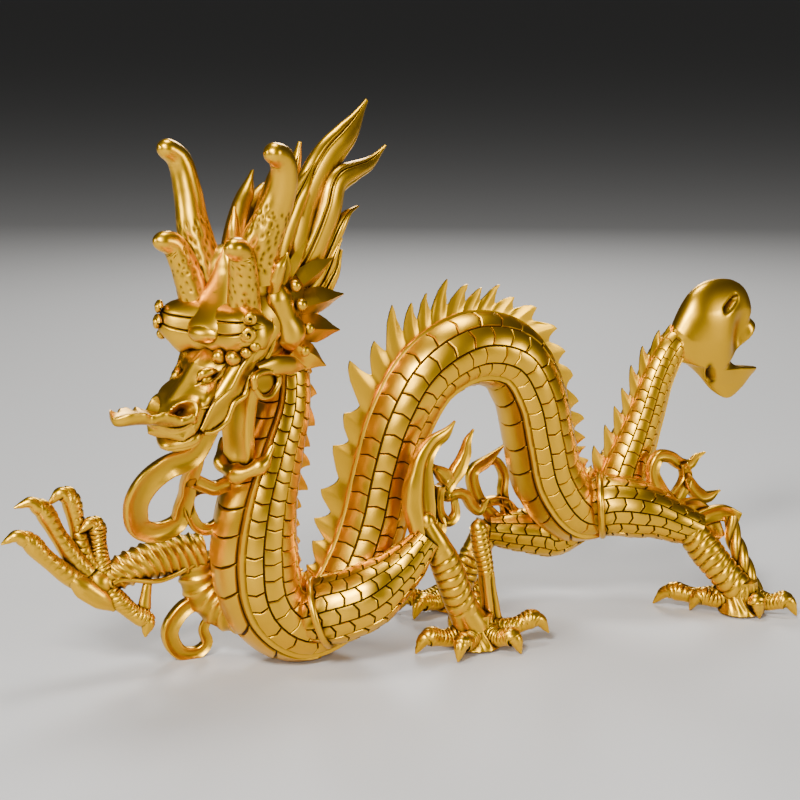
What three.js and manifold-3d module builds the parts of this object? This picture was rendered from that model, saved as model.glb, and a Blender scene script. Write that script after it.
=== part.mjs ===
// Brass dragon ornament: a striding five-clawed dragon with an arched body, cast in one piece.
// Millimetres, +Z up. The head is towards -X, the tail towards +X, and the floor is z = 0.

import * as THREE from "three";
import { mergeVertices } from "three/addons/utils/BufferGeometryUtils.js";
import Module from "manifold-3d";

const wasm = await Module();
wasm.setup();

// Driving dimensions of the trunk
const ROW_LENGTH = 12;
const ROW_LAP = 0.04;
const LIP_LENGTH = 0.6;
const NECK_TURN_DEG = 25;
const NECK_TURN_END = 0.22;

// Where the edges between the scale columns lie round the trunk, from the back to the belly
const COLUMN_EDGES_DEG = [0, 11, 46, 80, 110, 136, 180];

// Driving dimensions of the crest along the back, from the neck to the tail
const CREST_BAND = 1.5;
const TOOTH_HEIGHTS = [0, 8, 9, 7, 4, 6, 18, 22, 20, 18, 15, 11, 8, 5, 12, 14, 11];
const TOOTH_LEAN = 0.55;
const LONG_TEETH_FROM = 250;
const LONG_TEETH_TO = 345;
const LONG_TOOTH_SHOULDER = 0.6;

// Driving dimensions of the head
const HEAD_TURN_DEG = 25;
const HEAD_PITCH_DEG = 33;
const BROW_CENTRE = [-93, -18, 173];

// Driving dimensions of the legs
const SHIN_RIDGE = 0.09;
const TOE_HALVES = [7, 6, 5.6, 6, 4, 0.5];
const ANKLE_HEIGHT = 9;
const CLAW_SINK = 0.6;

// The middle of the finished casting's box on the floor, which becomes the origin
const ORIGIN = [34.0, -12.7];

const BRASS = { color: 0xd9a521, roughness: 0.28, metalness: 1.0 };

// The trunk's middle line from inside the skull to the tail's end: x, y, z and radius
const SPINE = [
  [-60, -3, 176, 11],
  [-46, 1, 157, 11],
  [-45, 0, 133, 12.5],
  [-53, -1, 108, 15.5],
  [-60, -1, 84, 18.5],
  [-62, 0, 57, 21],
  [-56, 0, 32, 20.5],
  [-39, 0, 19.5, 20],
  [-19, 0, 25, 19],
  [-5, 1, 44, 18.5],
  [4, 2, 65, 18],
  [11, 3, 90, 17.5],
  [20, 3, 115, 18],
  [35, 2, 137, 18.5],
  [59, 0, 148, 19],
  [82, -2, 142, 18.5],
  [95, -3, 122, 18],
  [102, -2, 98, 18],
  [110, 0, 74, 18.5],
  [127, 0, 55, 17.5],
  [150, 0, 58, 15],
  [161, 0, 78, 12.5],
  [170, 0, 98, 10],
  [179, 0, 124, 7],
  [189, 0, 145, 5],
];

const vector = (p) => new THREE.Vector3(p[0], p[1], p[2]);
const curveThrough = (points) =>
  new THREE.CatmullRomCurve3(points.map(vector), false, "centripetal");
const evenly = (count) => Array.from({ length: count + 1 }, (_, i) => i / count);
const FLOOR_NORMAL = vector([0, 0, 1]);
const TOWARDS_LEFT = vector([0, -1, 0]);

// A value that runs through a list of stations at even steps of t, in straight lines.
function through(values, t) {
  const place = THREE.MathUtils.clamp(t, 0, 1) * (values.length - 1);
  const first = Math.min(Math.floor(place), values.length - 2);
  return THREE.MathUtils.lerp(values[first], values[first + 1], place - first);
}

// The frame of a path at t: its point, its tangent, the direction nearest to up, and the side.
function frameAt(path, t, up) {
  const tangent = path.getTangent(t);
  const normal = up.clone().addScaledVector(tangent, -up.dot(tangent)).normalize();
  const side = normal.clone().cross(tangent);
  return { point: path.getPoint(t), tangent, normal, side };
}

// A cylinder bent along frames. offset gives across, up and forward for a ring and an angle from the top.
function bent(frames, sides, offset) {
  const rows = frames.length - 1;
  const shape = new THREE.CylinderGeometry(1, 1, 1, sides, rows);
  const corner = shape.getAttribute("position");
  for (let i = 0; i < corner.count; i++) {
    const ring = Math.round((0.5 - corner.getY(i)) * rows);
    const reach = Math.hypot(corner.getX(i), corner.getZ(i));
    const angle = Math.atan2(corner.getX(i), corner.getZ(i));
    const [across, up, forward] = offset(ring, angle);
    const { point, tangent, normal, side } = frames[ring];
    const place = point.clone().addScaledVector(side, across * reach);
    place.addScaledVector(normal, up * reach).addScaledVector(tangent, forward * reach);
    corner.setXYZ(i, place.x, place.y, place.z);
  }
  return shape;
}

// A bar of oval section along points. across and upright list its half sizes from end to end.
function bar(points, { across, upright = across, up = FLOOR_NORMAL, sides = 6, steps = 6 }) {
  const path = curveThrough(points);
  const stations = evenly(steps);
  const frames = stations.map((t) => frameAt(path, t, up));
  return bent(frames, sides, (ring, angle) => [
    through(across, stations[ring]) * Math.sin(angle),
    through(upright, stations[ring]) * Math.cos(angle),
    0,
  ]);
}

// An oval lump at a place, with its three half sizes along the axes of a basis.
function lump(centre, sizes, basis = new THREE.Matrix4(), detail = [8, 6]) {
  const shape = new THREE.SphereGeometry(1, detail[0], detail[1]);
  shape.scale(...sizes).applyMatrix4(basis);
  return shape.translate(centre.x, centre.y, centre.z);
}

// A geometry as a manifold-3d solid with its faces outwards.
function solidOf(shape) {
  const bare = shape.clone();
  bare.deleteAttribute("normal");
  bare.deleteAttribute("uv");
  const merged = mergeVertices(bare, 1e-3);
  const solid = new wasm.Manifold(
    new wasm.Mesh({
      numProp: 3,
      vertProperties: new Float32Array(merged.getAttribute("position").array),
      triVerts: new Uint32Array(merged.index.array),
    }),
  );
  if (solid.volume() <= 0) throw new Error("a shape is inside out");
  return solid;
}

// The trunk: rows of lapped scales, each row a ring of flat plates
const trunkPath = curveThrough(SPINE);
const trunkRadius = (t) => through(SPINE.map((p) => p[3]), t);

function trunkFrame(t) {
  const turn = Math.max(0, 1 - t / NECK_TURN_END) * THREE.MathUtils.degToRad(NECK_TURN_DEG);
  const across = vector([-Math.sin(turn), Math.cos(turn), 0]);
  const tangent = trunkPath.getTangent(t);
  return frameAt(trunkPath, t, tangent.clone().cross(across).normalize());
}

// The path parameter at a length along the trunk.
const trunkLength = trunkPath.getLength();
const atLength = (length) => trunkPath.getUtoTmapping(length / trunkLength);

// The height of the crest's teeth at a length along the trunk. Each tooth rises to the tail and drops.
function toothAt(length, row, atEnd) {
  const share = length / trunkLength;
  const long = length > LONG_TEETH_FROM && length < LONG_TEETH_TO;
  const rise = long ? [0, LONG_TOOTH_SHOULDER, 1][((row + 1) % 2) + Number(atEnd)] : Number(atEnd);
  return through(TOOTH_HEIGHTS, share) * rise;
}

function trunk() {
  const rows = Math.round(trunkLength / ROW_LENGTH);
  const rings = [];
  for (let row = 0; row < rows; row++) {
    const start = (row * trunkLength) / rows;
    const end = ((row + 1) * trunkLength) / rows;
    rings.push({ t: atLength(start + LIP_LENGTH), swell: 1 - ROW_LAP, tooth: toothAt(start, row, false) });
    rings.push({ t: atLength(end), swell: 1 + ROW_LAP, tooth: toothAt(end, row, true) });
  }
  const edges = COLUMN_EDGES_DEG.map(THREE.MathUtils.degToRad);
  const sides = 2 * (edges.length - 1);
  const frames = rings.map((ring) => trunkFrame(ring.t));
  return bent(frames, sides, (ring, angle) => {
    const { t, swell, tooth } = rings[ring];
    const column = Math.round((Math.abs(angle) * sides) / (2 * Math.PI));
    const turn = Math.sign(angle) * edges[column];
    const radius = trunkRadius(t) * swell;
    if (column === 0) return [0, trunkRadius(t) + CREST_BAND + tooth, tooth * TOOTH_LEAN];
    return [radius * Math.sin(turn), radius * Math.cos(turn), 0];
  });
}

// The head's own axes: forward along the snout, to its left, and up out of the brow
const headTurn = THREE.MathUtils.degToRad(HEAD_TURN_DEG);
const headPitch = THREE.MathUtils.degToRad(HEAD_PITCH_DEG);
const level = vector([-Math.cos(headTurn), -Math.sin(headTurn), 0]);
const headForward = level.clone().multiplyScalar(Math.cos(headPitch));
headForward.z = -Math.sin(headPitch);
const headUp = level.clone().multiplyScalar(Math.sin(headPitch));
headUp.z = Math.cos(headPitch);
const headLeft = headUp.clone().cross(headForward);
const headBasis = new THREE.Matrix4().makeBasis(headForward, headLeft, headUp);

function inHead([forward, left, up]) {
  const place = vector(BROW_CENTRE).addScaledVector(headForward, forward);
  return place.addScaledVector(headLeft, left).addScaledVector(headUp, up);
}
const headPoints = (points, side = 1) =>
  points.map(([forward, left, up]) => inHead([forward, left * side, up]).toArray());
const headBar = (points, side, form) => bar(headPoints(points, side), { up: headUp, ...form });
const headLump = (centre, sizes, detail) => lump(inHead(centre), sizes, headBasis, detail);
const BOTH_SIDES = [1, -1];

function skullAndJaws() {
  const muzzle = [[-14, 0, -8], [8, 0, -13], [26, 0, -17], [42, 0, -16], [52, 0, -12]];
  const upperLip = [[38, 0, -16], [54, 0, -6], [67, 0, 3]];
  const lowerJaw = [[-26, 0, -30], [-12, 0, -44], [4, 0, -56], [17, 0, -65], [25, 0, -64]];
  return [
    headLump([-30, 0, -12], [34, 24, 23], [9, 6]),
    headBar(muzzle, 1, { across: [21, 18, 15, 13, 10], upright: [15, 10, 8, 7, 5], sides: 10, steps: 5 }),
    headBar(upperLip, 1, { across: [11, 15, 12], upright: [4, 3, 1.5], sides: 8, steps: 3 }),
    headBar(lowerJaw, 1, { across: [16, 13, 11, 9, 6], upright: [8, 6, 5, 4, 2], sides: 8, steps: 4 }),
    headLump([47, 0, -23], [10, 12, 6], [8, 4]),
  ];
}

function brow() {
  const ridge = [[7, 0, -6], [2, 0, 0], [-8, 0, 7], [-18, 0, 14], [-28, 0, 22]];
  const parts = [headBar(ridge, 1, { across: [5, 7, 6, 5, 3], upright: [3, 5, 5, 4, 2] })];
  const foldRoots = [[-5, 6], [1, 0], [5, -7]];
  for (const side of BOTH_SIDES) {
    for (const [forward, up] of foldRoots) {
      const fold = [[forward, 3, up], [forward + 1, 18, up + 1], [forward - 3, 32, up]];
      parts.push(headBar(fold, side, { across: [3.6, 4.2, 3.4], sides: 5, steps: 2 }));
    }
    parts.push(headLump([-19, side * 21, -8], [10, 7, 14], [6, 5]));
  }
  return parts;
}

function horns() {
  const main = [[-26, 15, 4], [-38, 21, 28], [-48, 25, 42], [-54, 28, 56], [-49, 30, 68]];
  const front = [[-9, 12, 0], [-14, 15, 20], [-17, 18, 31], [-13, 21, 41]];
  const middle = [[-34, 0, 4], [-40, 0, 24], [-46, 0, 38]];
  const ear = [[-27, 19, -6], [-36, 24, 5], [-46, 27, 16]];
  const parts = [headBar(middle, 1, { across: [6, 5, 0.6], sides: 5, steps: 2 })];
  for (const side of BOTH_SIDES) {
    parts.push(headBar(main, side, { across: [11, 8.5, 7, 5.5, 4], sides: 6, steps: 5 }));
    parts.push(headBar(front, side, { across: [8, 7, 5.5, 3.5], sides: 6, steps: 4 }));
    parts.push(headBar(ear, side, { across: [4, 6, 0.6], upright: [3, 3, 0.6], sides: 4, steps: 2 }));
  }
  return parts;
}

// Spikes that stand round the cheek like the rays of a fan
function cheekSpikes() {
  const spikes = [
    [[-44, 18, -6], [-64, 23, -4]],
    [[-46, 18, -14], [-71, 23, -14]],
    [[-46, 18, -22], [-72, 23, -33]],
    [[-40, 18, -28], [-58, 23, -48]],
  ];
  return BOTH_SIDES.flatMap((side) =>
    spikes.map((path) => headBar(path, side, { across: [7, 0.6], upright: [5, 0.6], sides: 5, steps: 1 })),
  );
}

// Locks of the mane, each a flame that sweeps back from the skull. share shortens the far side's locks.
function mane() {
  const locks = [
    { path: [[-40, 12, 2], [-76, 15, 12], [-112, 18, 30], [-136, 21, 33]], wide: [7, 9, 9, 0.6], far: 0.6 },
    { path: [[-46, 16, -6], [-84, 20, 3], [-108, 22, 10], [-137, 24, 7]], wide: [6, 8, 7, 0.6], far: 0.8 },
    { path: [[-48, 18, -14], [-78, 22, -10], [-104, 22, -3]], wide: [6, 7, 0.6], far: 0.9 },
    { path: [[-36, 4, 6], [-72, 7, 15], [-106, 9, 33]], wide: [6, 7, 0.6], far: 0.7 },
  ];
  return BOTH_SIDES.flatMap((side) =>
    locks.map(({ path, wide, far }) => {
      const share = side < 0 ? far : 1;
      const reach = path.map((p) => p.map((v, axis) => path[0][axis] + (v - path[0][axis]) * share));
      return headBar(reach, side, { across: wide, upright: [7, 6, 5, 0.6], sides: 5, steps: 4 });
    }),
  );
}

// A whisker from the lip that loops out and back to the chest, and a short one on the other side
function whiskers() {
  const near = [
    [-89, -26, 145], [-97, -23, 124], [-116, -15, 108], [-123, -8, 98], [-121, 0, 86],
    [-113, 8, 75], [-101, 12, 74], [-95, 10, 84], [-93, 4, 96], [-64, -4, 93],
  ];
  const strand = [[-95, 8, 90], [-96, 10, 80], [-86, 10, 70], [-66, 4, 70]];
  return [
    bar(near, { across: [4, 6, 6, 5], upright: [2.5, 3, 3, 2.5], up: TOWARDS_LEFT, sides: 5, steps: 14 }),
    bar(strand, { across: [3, 3.5, 4], upright: [2.5, 3], up: TOWARDS_LEFT, sides: 5, steps: 4 }),
  ];
}

// A leg: a scaled upper limb, a ridged shin and the sinew that stands off behind it
function leg({ upper, upperHalf, lower, lowerHalf, sinew, ridges }) {
  const path = curveThrough(lower);
  const rings = [];
  for (let ridge = 0; ridge < ridges; ridge++) {
    rings.push({ t: ridge / ridges, swell: 1 - SHIN_RIDGE });
    rings.push({ t: (ridge + 0.75) / ridges, swell: 1 + SHIN_RIDGE });
  }
  rings.push({ t: 1, swell: 1 });
  const frames = rings.map((ring) => frameAt(path, ring.t, TOWARDS_LEFT));
  const shin = bent(frames, 7, (ring, angle) => {
    const half = through(lowerHalf, rings[ring].t) * rings[ring].swell;
    return [half * Math.sin(angle), half * Math.cos(angle), 0];
  });
  const parts = [bar(upper, { across: upperHalf, up: TOWARDS_LEFT, sides: 8, steps: 4 }), shin];
  if (sinew) parts.push(bar(sinew, { across: [3, 4.5, 5, 5], up: TOWARDS_LEFT, sides: 5, steps: 3 }));
  return parts;
}

// A toe with its claw: it leaves the foot, humps at the knuckle and ends in a hooked point.
const toe = (points, up = FLOOR_NORMAL) =>
  bar(points, { across: TOE_HALVES, up, sides: 5, steps: 4 });

// A foot flat on the floor. Each toe runs out from the ankle to the place of its claw's point.
function standingFoot([x, y], clawPoints) {
  const parts = [lump(vector([x, y, ANKLE_HEIGHT]), [12, 12, 11], undefined, [6, 4])];
  for (const [tipX, tipY, tipZ] of clawPoints) {
    const along = (share, height) => [x + (tipX - x) * share, y + (tipY - y) * share, height];
    const knuckle = along(0.8, 7.5 + tipZ);
    parts.push(toe([along(0.25, 8), along(0.5, 6.5 + tipZ * 0.6), knuckle, along(1, tipZ - CLAW_SINK)]));
  }
  return parts;
}

function legs() {
  const frontLeft = leg({
    upper: [[-44, -4, 22], [-34, -13, 26], [-16, -23, 33], [3, -28, 46], [17, -32, 62]],
    upperHalf: [10, 17, 16, 11, 6.5],
    lower: [[15, -32, 66], [27, -32, 42], [40, -31, 22], [46, -31, 12]],
    lowerHalf: [7, 9.5, 10, 9],
    sinew: [[48, -31, 60], [50, -33, 46], [54, -32, 24], [53, -31, 12]],
    ridges: 6,
  });
  const hindLeft = leg({
    upper: [[126, 0, 55], [142, -11, 57], [158, -22, 54], [172, -30, 48], [183, -35, 43]],
    upperHalf: [9, 16, 15, 11, 8.5],
    lower: [[178, -34, 45], [187, -43, 29], [195, -52, 16], [199, -55, 10]],
    lowerHalf: [8, 9, 8.5, 8],
    sinew: [[203, -38, 47], [203, -41, 38], [204, -48, 26], [207, -55, 10]],
    ridges: 6,
  });
  const hindRight = leg({
    upper: [[134, 2, 46], [122, 14, 40], [104, 20, 41], [88, 25, 43]],
    upperHalf: [10, 14, 11, 8],
    lower: [[90, 25, 45], [82, 27, 30], [74, 28, 16], [70, 28, 10]],
    lowerHalf: [8, 8, 8, 8],
    ridges: 5,
  });
  const frontRight = leg({
    upper: [[-54, 6, 24], [-70, 19, 26], [-79, 24, 36], [-82, 26, 52]],
    upperHalf: [11, 11, 10, 9.5],
    lower: [[-79, 25, 54], [-97, 27, 54], [-113, 27, 52], [-132, 27, 46]],
    lowerHalf: [10, 10, 8.5, 7],
    ridges: 6,
  });
  const openPaw = [
    lump(vector([-134, 26, 46]), [9, 7, 9], undefined, [6, 4]),
    toe([[-138, 26, 47], [-147, 25, 52], [-160, 24, 64], [-170, 24, 75], [-181, 24, 73]]),
    toe([[-138, 27, 52], [-144, 28, 60], [-151, 29, 72], [-160, 30, 88], [-172, 30, 88]]),
    toe([[-135, 28, 53], [-138, 31, 62], [-140, 33, 75], [-144, 34, 91], [-154, 34, 86]]),
    toe([[-130, 27, 51], [-131, 28, 58], [-131, 29, 65], [-132, 30, 75], [-141, 28, 72]]),
    toe([[-129, 25, 42], [-124, 21, 37], [-118, 19, 31], [-111, 17, 26], [-114, 15, 19]]),
  ];
  return [
    ...frontLeft, ...hindLeft, ...hindRight, ...frontRight, ...openPaw,
    ...standingFoot([47, -31], [[14, -26, 0], [26, -47, 0], [60, -52, 0], [82, -44, 5], [47, -6, 0]]),
    ...standingFoot([199, -54], [[167, -19, 0], [177, -38, 0], [200, -68, 0], [220, -74, 0], [216, -38, 0]]),
    ...standingFoot([70, 28], [[39, 37, 0], [41, 22, 0], [82, 49, 0], [90, 34, 0], [74, 6, 0]]),
  ];
}

// Flames at the elbows and knees, flat tongues that rise from the joint
function flames() {
  const tongues = [
    { path: [[16, -30, 56], [8, -28, 75], [12, -24, 94], [24, -22, 106], [39, -22, 115]], wide: [5, 7, 8, 5, 0.6] },
    { path: [[20, -31, 58], [27, -32, 74], [25, -28, 86], [33, -26, 96]], wide: [4, 5, 4, 0.6] },
    { path: [[24, -31, 52], [35, -28, 67], [35, -24, 83], [43, -22, 95], [49, -22, 111]], wide: [4, 4, 4, 4, 0.6] },
    {
      path: [[175, -24, 52], [166, -20, 67], [168, -18, 78], [179, -17, 76], [188, -17, 73], [200, -17, 80]],
      wide: [5, 4.5, 4.5, 4.5, 4, 0.6],
    },
    { path: [[186, -30, 44], [186, -24, 60], [195, -22, 60], [207, -22, 59]], wide: [6, 5, 5, 0.6] },
    { path: [[183, -34, 46], [193, -33, 50], [202, -36, 50], [209, -38, 45]], wide: [4, 4, 4, 4] },
    { path: [[98, 23, 46], [83, 21, 56], [78, 20, 72], [84, 22, 82], [97, 24, 88]], wide: [4, 4, 4, 4, 0.6] },
    { path: [[-80, 25, 30], [-89, 26, 27], [-95, 28, 16], [-91, 28, 5], [-81, 26, 2]], wide: [4, 4.5, 4.5, 4.5, 3] },
  ];
  return tongues.map(({ path, wide }) =>
    bar(path, { across: wide, upright: [3, 3, 2.5, 0.8], up: TOWARDS_LEFT, sides: 5, steps: 5 }),
  );
}

// The tail ends in a swollen leaf that curls over, with points on its rim
function tailLeaf() {
  const back = [[184, 0, 134], [193, 0, 148], [207, 0, 156], [224, 0, 152], [236, 0, 140]];
  const skirt = [[206, 0, 146], [213, -1, 128], [226, -2, 114], [239, -3, 109]];
  const points = [[[220, -2, 126], [236, -4, 121], [249, -5, 119]]];
  const width = { across: [5, 12, 17, 16, 7], upright: [5, 8, 13, 15, 8] };
  return [
    bar(back, { ...width, up: vector([-1, 0, 1]), sides: 8, steps: 6 }),
    bar(skirt, { across: [14, 13, 9, 2], upright: [9, 6, 4, 1.5], up: TOWARDS_LEFT, sides: 7, steps: 4 }),
    ...points.map((p) => bar(p, { across: [8, 5, 0.6], upright: [6, 3, 0.6], up: TOWARDS_LEFT, sides: 5, steps: 2 })),
  ];
}

// Everything is fused into one casting and cut level at the floor
function casting() {
  const shapes = [
    trunk(), ...skullAndJaws(), ...brow(), ...horns(), ...cheekSpikes(), ...mane(),
    ...whiskers(), ...legs(), ...flames(), ...tailLeaf(),
  ];
  const fused = shapes.map(solidOf).reduce((sum, next) => sum.add(next));
  const below = new THREE.BoxGeometry(800, 800, 100).translate(0, 0, -50);
  return fused.subtract(solidOf(below));
}

function geometryOf(solid) {
  const { vertProperties, triVerts } = solid.getMesh();
  const shape = new THREE.BufferGeometry();
  shape.setAttribute("position", new THREE.BufferAttribute(vertProperties, 3));
  shape.setIndex(new THREE.BufferAttribute(triVerts, 1));
  return shape.toNonIndexed();
}

// The origin is the middle of the casting's box, on the floor
const form = geometryOf(casting());
form.translate(-ORIGIN[0], -ORIGIN[1], 0);
form.computeVertexNormals();
const dragon = new THREE.Mesh(form, new THREE.MeshStandardMaterial(BRASS));
dragon.name = "dragon";

const ornament = new THREE.Group();
ornament.add(dragon);

export default ornament;
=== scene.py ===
"""Brass dragon ornament: a striding dragon with an arched scaly body, cast in one piece."""

import bisect
import math
import random

import bmesh
import bpy
from mathutils import Matrix, Vector
from mathutils.bvhtree import BVHTree


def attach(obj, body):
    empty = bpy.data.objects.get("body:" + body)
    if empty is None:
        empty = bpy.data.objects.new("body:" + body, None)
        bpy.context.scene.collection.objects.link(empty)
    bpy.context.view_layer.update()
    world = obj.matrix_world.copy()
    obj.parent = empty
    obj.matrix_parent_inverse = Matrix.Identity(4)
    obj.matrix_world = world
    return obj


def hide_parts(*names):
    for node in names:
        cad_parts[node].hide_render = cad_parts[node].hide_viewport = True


bl_info = {
    "name": "Brass Dragon Ornament",
    "version": (1, 0, 0),
    "blender": (4, 5, 0),
    "location": "View3D > Sidebar > Dragon",
    "description": "Models a cast brass dragon with its scales, crest, mane and claws",
    "category": "Add Mesh",
}

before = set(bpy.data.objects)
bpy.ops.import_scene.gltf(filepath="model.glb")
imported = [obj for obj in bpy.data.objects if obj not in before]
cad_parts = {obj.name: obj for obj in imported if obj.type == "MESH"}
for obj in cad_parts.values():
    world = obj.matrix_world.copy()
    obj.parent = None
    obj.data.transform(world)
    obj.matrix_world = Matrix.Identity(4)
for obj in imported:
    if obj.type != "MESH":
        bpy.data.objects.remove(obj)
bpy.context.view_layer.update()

# Shapes are worked out in millimetres in the sculptor's frame, then moved to the row frame in metres
MM = 0.001
ORIGIN = Vector((34.0, -12.7, 0.0))
UP = Vector((0, 0, 1))
LEFT = Vector((0, -1, 0))
BOTH_SIDES = (1, -1)

# The vertex attribute that says how much patina and painted shade lie on the brass: patina in the grooves
# and sunken relief, painted shade in creases, the tail leaf's hollow and slits, the nostrils and the
# bill's underside
PATINA_AND_SHADE = "patina"
# How near another surface must be to paint shade into a crease, in millimetres, and the rays that look
# for it
CREASE_REACH = 5.0
CREASE_RAYS = 6
# The thinnest half width of a bar, in millimetres, and the widest angle that is shaded smooth
THINNEST = 0.2
SMOOTH_DEG = 50

# The trunk's middle line from inside the skull to the tail's end: x, y, z and radius
SPINE = (
    (-60, -3, 176, 11),
    (-46, 1, 157, 11),
    (-45, 0, 133, 12.5),
    (-53, -1, 108, 15.5),
    (-60, -1, 84, 18.5),
    (-62, 0, 57, 21),
    (-56, 0, 32, 20.5),
    (-39, 0, 19.5, 20),
    (-19, 0, 25, 19),
    (-5, 1, 44, 18.5),
    (4, 2, 65, 18),
    (11, 3, 90, 17.5),
    (20, 3, 115, 18),
    (35, 2, 137, 18.5),
    (59, 0, 148, 19),
    (82, -2, 142, 18.5),
    (95, -3, 122, 18),
    (102, -2, 98, 18),
    (110, 0, 74, 18.5),
    (127, 0, 55, 17.5),
    (150, 0, 58, 15),
    (161, 0, 78, 13),
    (170, 0, 98, 10.8),
    (179, 0, 121, 9.2),
    (188, 0, 135, 8.4),
    (197, 0, 142, 7.2),
)
# How far the neck turns to the head, and the share of the middle line where that ends
NECK_TURN_DEG = 25
NECK_TURN_END = 0.22

# Scale rows and columns of the trunk, at angles from the middle of the back
ROW_LENGTHS = (6.5, 6.5, 7, 8.5, 9.5, 9.5, 9.5, 9.5, 9.5, 9.5, 9.5, 9, 8, 7, 6, 5)
ROW_CUTS = (0, 0.02, 0.04, 0.06, 0.1, 0.5, 0.9, 0.94, 0.96, 0.98)
BACK_CUTS_DEG = (0, 5, 7, 8.5, 10, 11.5, 12.5)
BACK_ROPE_DEG = 9.3
BACK_ROPE_WIDTH_DEG = 2.2
COLUMN_EDGES_DEG = (13.5, 48, 79, 106, 130)
COLUMN_CUTS = (0, 0.02, 0.06, 0.1, 0.5, 0.9, 0.94, 0.98)
COLUMN_PHASES = (0.0, 0.45, 0.15, 0.6)
LANES = 2 * len(COLUMN_PHASES)
STAGGER = 0.12
STAGGER_SEED = 4
BORDER_CUTS_DEG = (130, 131.5, 133, 136, 139, 140.5)
BORDER_ROPE_DEG = 136
BORDER_ROPE_WIDTH_DEG = 3.4
BELLY_EDGE_DEG = 142
BELLY_CUTS = (0, 0.02, 0.06, 0.3, 0.65)
BELLY_ROW_CUTS = (0, 0.016, 0.032, 0.05, 0.09, 0.16, 0.3, 0.5, 0.7, 0.84, 0.91, 0.95, 0.965, 0.978, 0.99)

# How deep the grooves lie, and the trunk radius from which scales have their full height
GROOVE_SINK = 0.4
FULL_SCALE_RADIUS = 14

# Teeth of the crest: the length along the spine to each tip, and its height over the trunk
CREST_TIPS = (
    (38, 7), (47, 9.5), (58, 10), (68, 9), (78, 10.5), (91, 11), (103, 7), (114, 6), (126, 5), (138, 4),
    (150, 4), (163, 4), (177, 4), (192, 5), (206, 7), (221, 10), (236, 13.5), (254, 14), (275, 13),
    (289, 12), (308, 21), (317, 15), (327, 21.5), (332.5, 16), (338, 16), (345, 18.5), (350, 13.5),
    (354.5, 11.5), (360, 14), (366, 10), (373, 11), (381, 12), (390, 10.5), (401, 10), (413, 10),
    (425, 11.5), (436, 10), (447, 9), (458, 7), (469, 6), (481, 6), (493, 7), (507, 9), (521, 10.5),
    (533, 10), (545, 9.5), (556, 9), (567, 9), (577, 8), (586, 5), (592, 3),
)
CREST_START = (30, 1.0)
CREST_END = (597, 1)
CREST_NOTCH = 0.42
CREST_LEAN = 0.35
CREST_ROOT = 3
CREST_EDGE = 0.45
# On the tail the teeth lean further back: how far, from which length on, and how soon in full
TAIL_LEAN = 1.0
TAIL_START = 490
TAIL_BLEND = 25

# The tail leaf's outline as x and z, from the tail's end round by the top
LEAF_MIDDLE = (216, 122)
LEAF_OUTLINE = (
    (188.2, 146.8), (192.9, 155.5), (200, 165.2), (209.3, 170.5), (222.6, 171.4), (230, 169.5),
    (235.8, 165.3), (239.5, 157), (239.5, 150), (243.5, 145.5), (242, 141.5), (235.5, 137), (231, 132),
    (227.5, 126.5), (232.1, 122.6), (239.2, 121.6), (247.1, 119.7), (243, 115.3), (236.9, 109.2),
    (228, 104.5), (217.3, 109.2), (206.8, 119.6), (199, 126), (192, 129), (187, 138), (188.2, 146.8),
)
# The leaf's half thickness by height, and how far its middle lies to the near side
LEAF_THICKNESS = ((100, 2), (113, 4), (125, 8), (140, 12.5), (155, 15), (175, 14))
LEAF_SHIFT = 2
# The hollow in both faces of the leaf, darkened with painted shade: its middle as x and z, its half sizes
# and its depth
LEAF_HOLLOW = ((230, 141), (7, 14), 8)
# Slits in the leaf, darkened with painted shade: the x and z of both ends, half width and depth
LEAF_SLITS = (
    (((226, 163), (214, 155)), 1.5, 5),
    (((208, 125.5), (213.5, 116)), 1.6, 3.5),
)

# The muzzle from its root to its tip: forward, half width, top and underside
MUZZLE = (
    (-14, 19, -4, -28),
    (4, 16.5, -7.5, -27),
    (16, 14.5, -7, -26),
    (27, 13.8, -9, -26),
    (37, 14.3, -10, -26),
    (44, 14.3, -13, -25),
    (49, 11, -19, -23),
)
# The power that squares off its section, and the pad, eye socket and nostril on its side
MUZZLE_SQUARE = 0.85
PAD = Vector((28, 12.5, -15))
PAD_RISE = Vector((0.2, 0.7, 0.6))
SOCKET = Vector((18, 10, -9))
SOCKET_SINK = Vector((0.4, 0.6, 0.6))
NOSTRIL = Vector((41.8, 8, -12.9))
NOSTRIL_AXES = (Vector((-0.6, 0.67, -0.44)), Vector((0.3, 0.3, -0.9)), Vector((0.52, 0.74, 0.42)))

# The head's own axes: forward along the snout, to its left, and up out of the brow
HEAD_TURN_DEG = 25
HEAD_PITCH_DEG = 33
BROW_CENTRE = Vector((-93, -18, 173))

# How far the far side's cheek skin and jaw hinge lie out, as a share of the near side's
CHEEK_TUCK = 0.78
HINGE_TUCK = 0.66

# The camera: what it looks at in the sculptor's frame, how it is turned, and its lens
CAMERA_TARGET = Vector((20, 0, 125))
CAMERA_TURN_DEG = 30
CAMERA_RISE_DEG = 12
CAMERA_LENS = 90
# The lamps: name, place in metres, size and power, all aimed at one point
LAMP_AIM = Vector((0, 0, 0.12))
LAMPS = (
    ("key", (-0.9, -0.8, 1.1), 0.35, 30),
    ("front", (-0.95, -1.4, 0.7), 0.35, 10),
    ("side", (-1.4, 0.2, 0.5), 0.35, 7),
    ("fill", (0.9, -1.2, 0.45), 0.35, 8),
    ("top", (0.1, 0.2, 1.3), 0.4, 10),
    ("rim", (0.7, 1.1, 0.8), 0.4, 9),
)
FLOOR_RADIUS = 40.0
FLOOR_COLOR = (0.56, 0.55, 0.535, 1)
FLOOR_ROUGHNESS = 0.6
WORLD_COLOR = (0.5, 0.5, 0.5, 1)
WORLD_STRENGTH = 0.07


def clamp(value):
    """A value held to the span from 0 to 1."""
    return min(max(value, 0.0), 1.0)


def circle(count):
    """Even turns round a full circle."""
    return [math.tau * i / count for i in range(count)]


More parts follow.
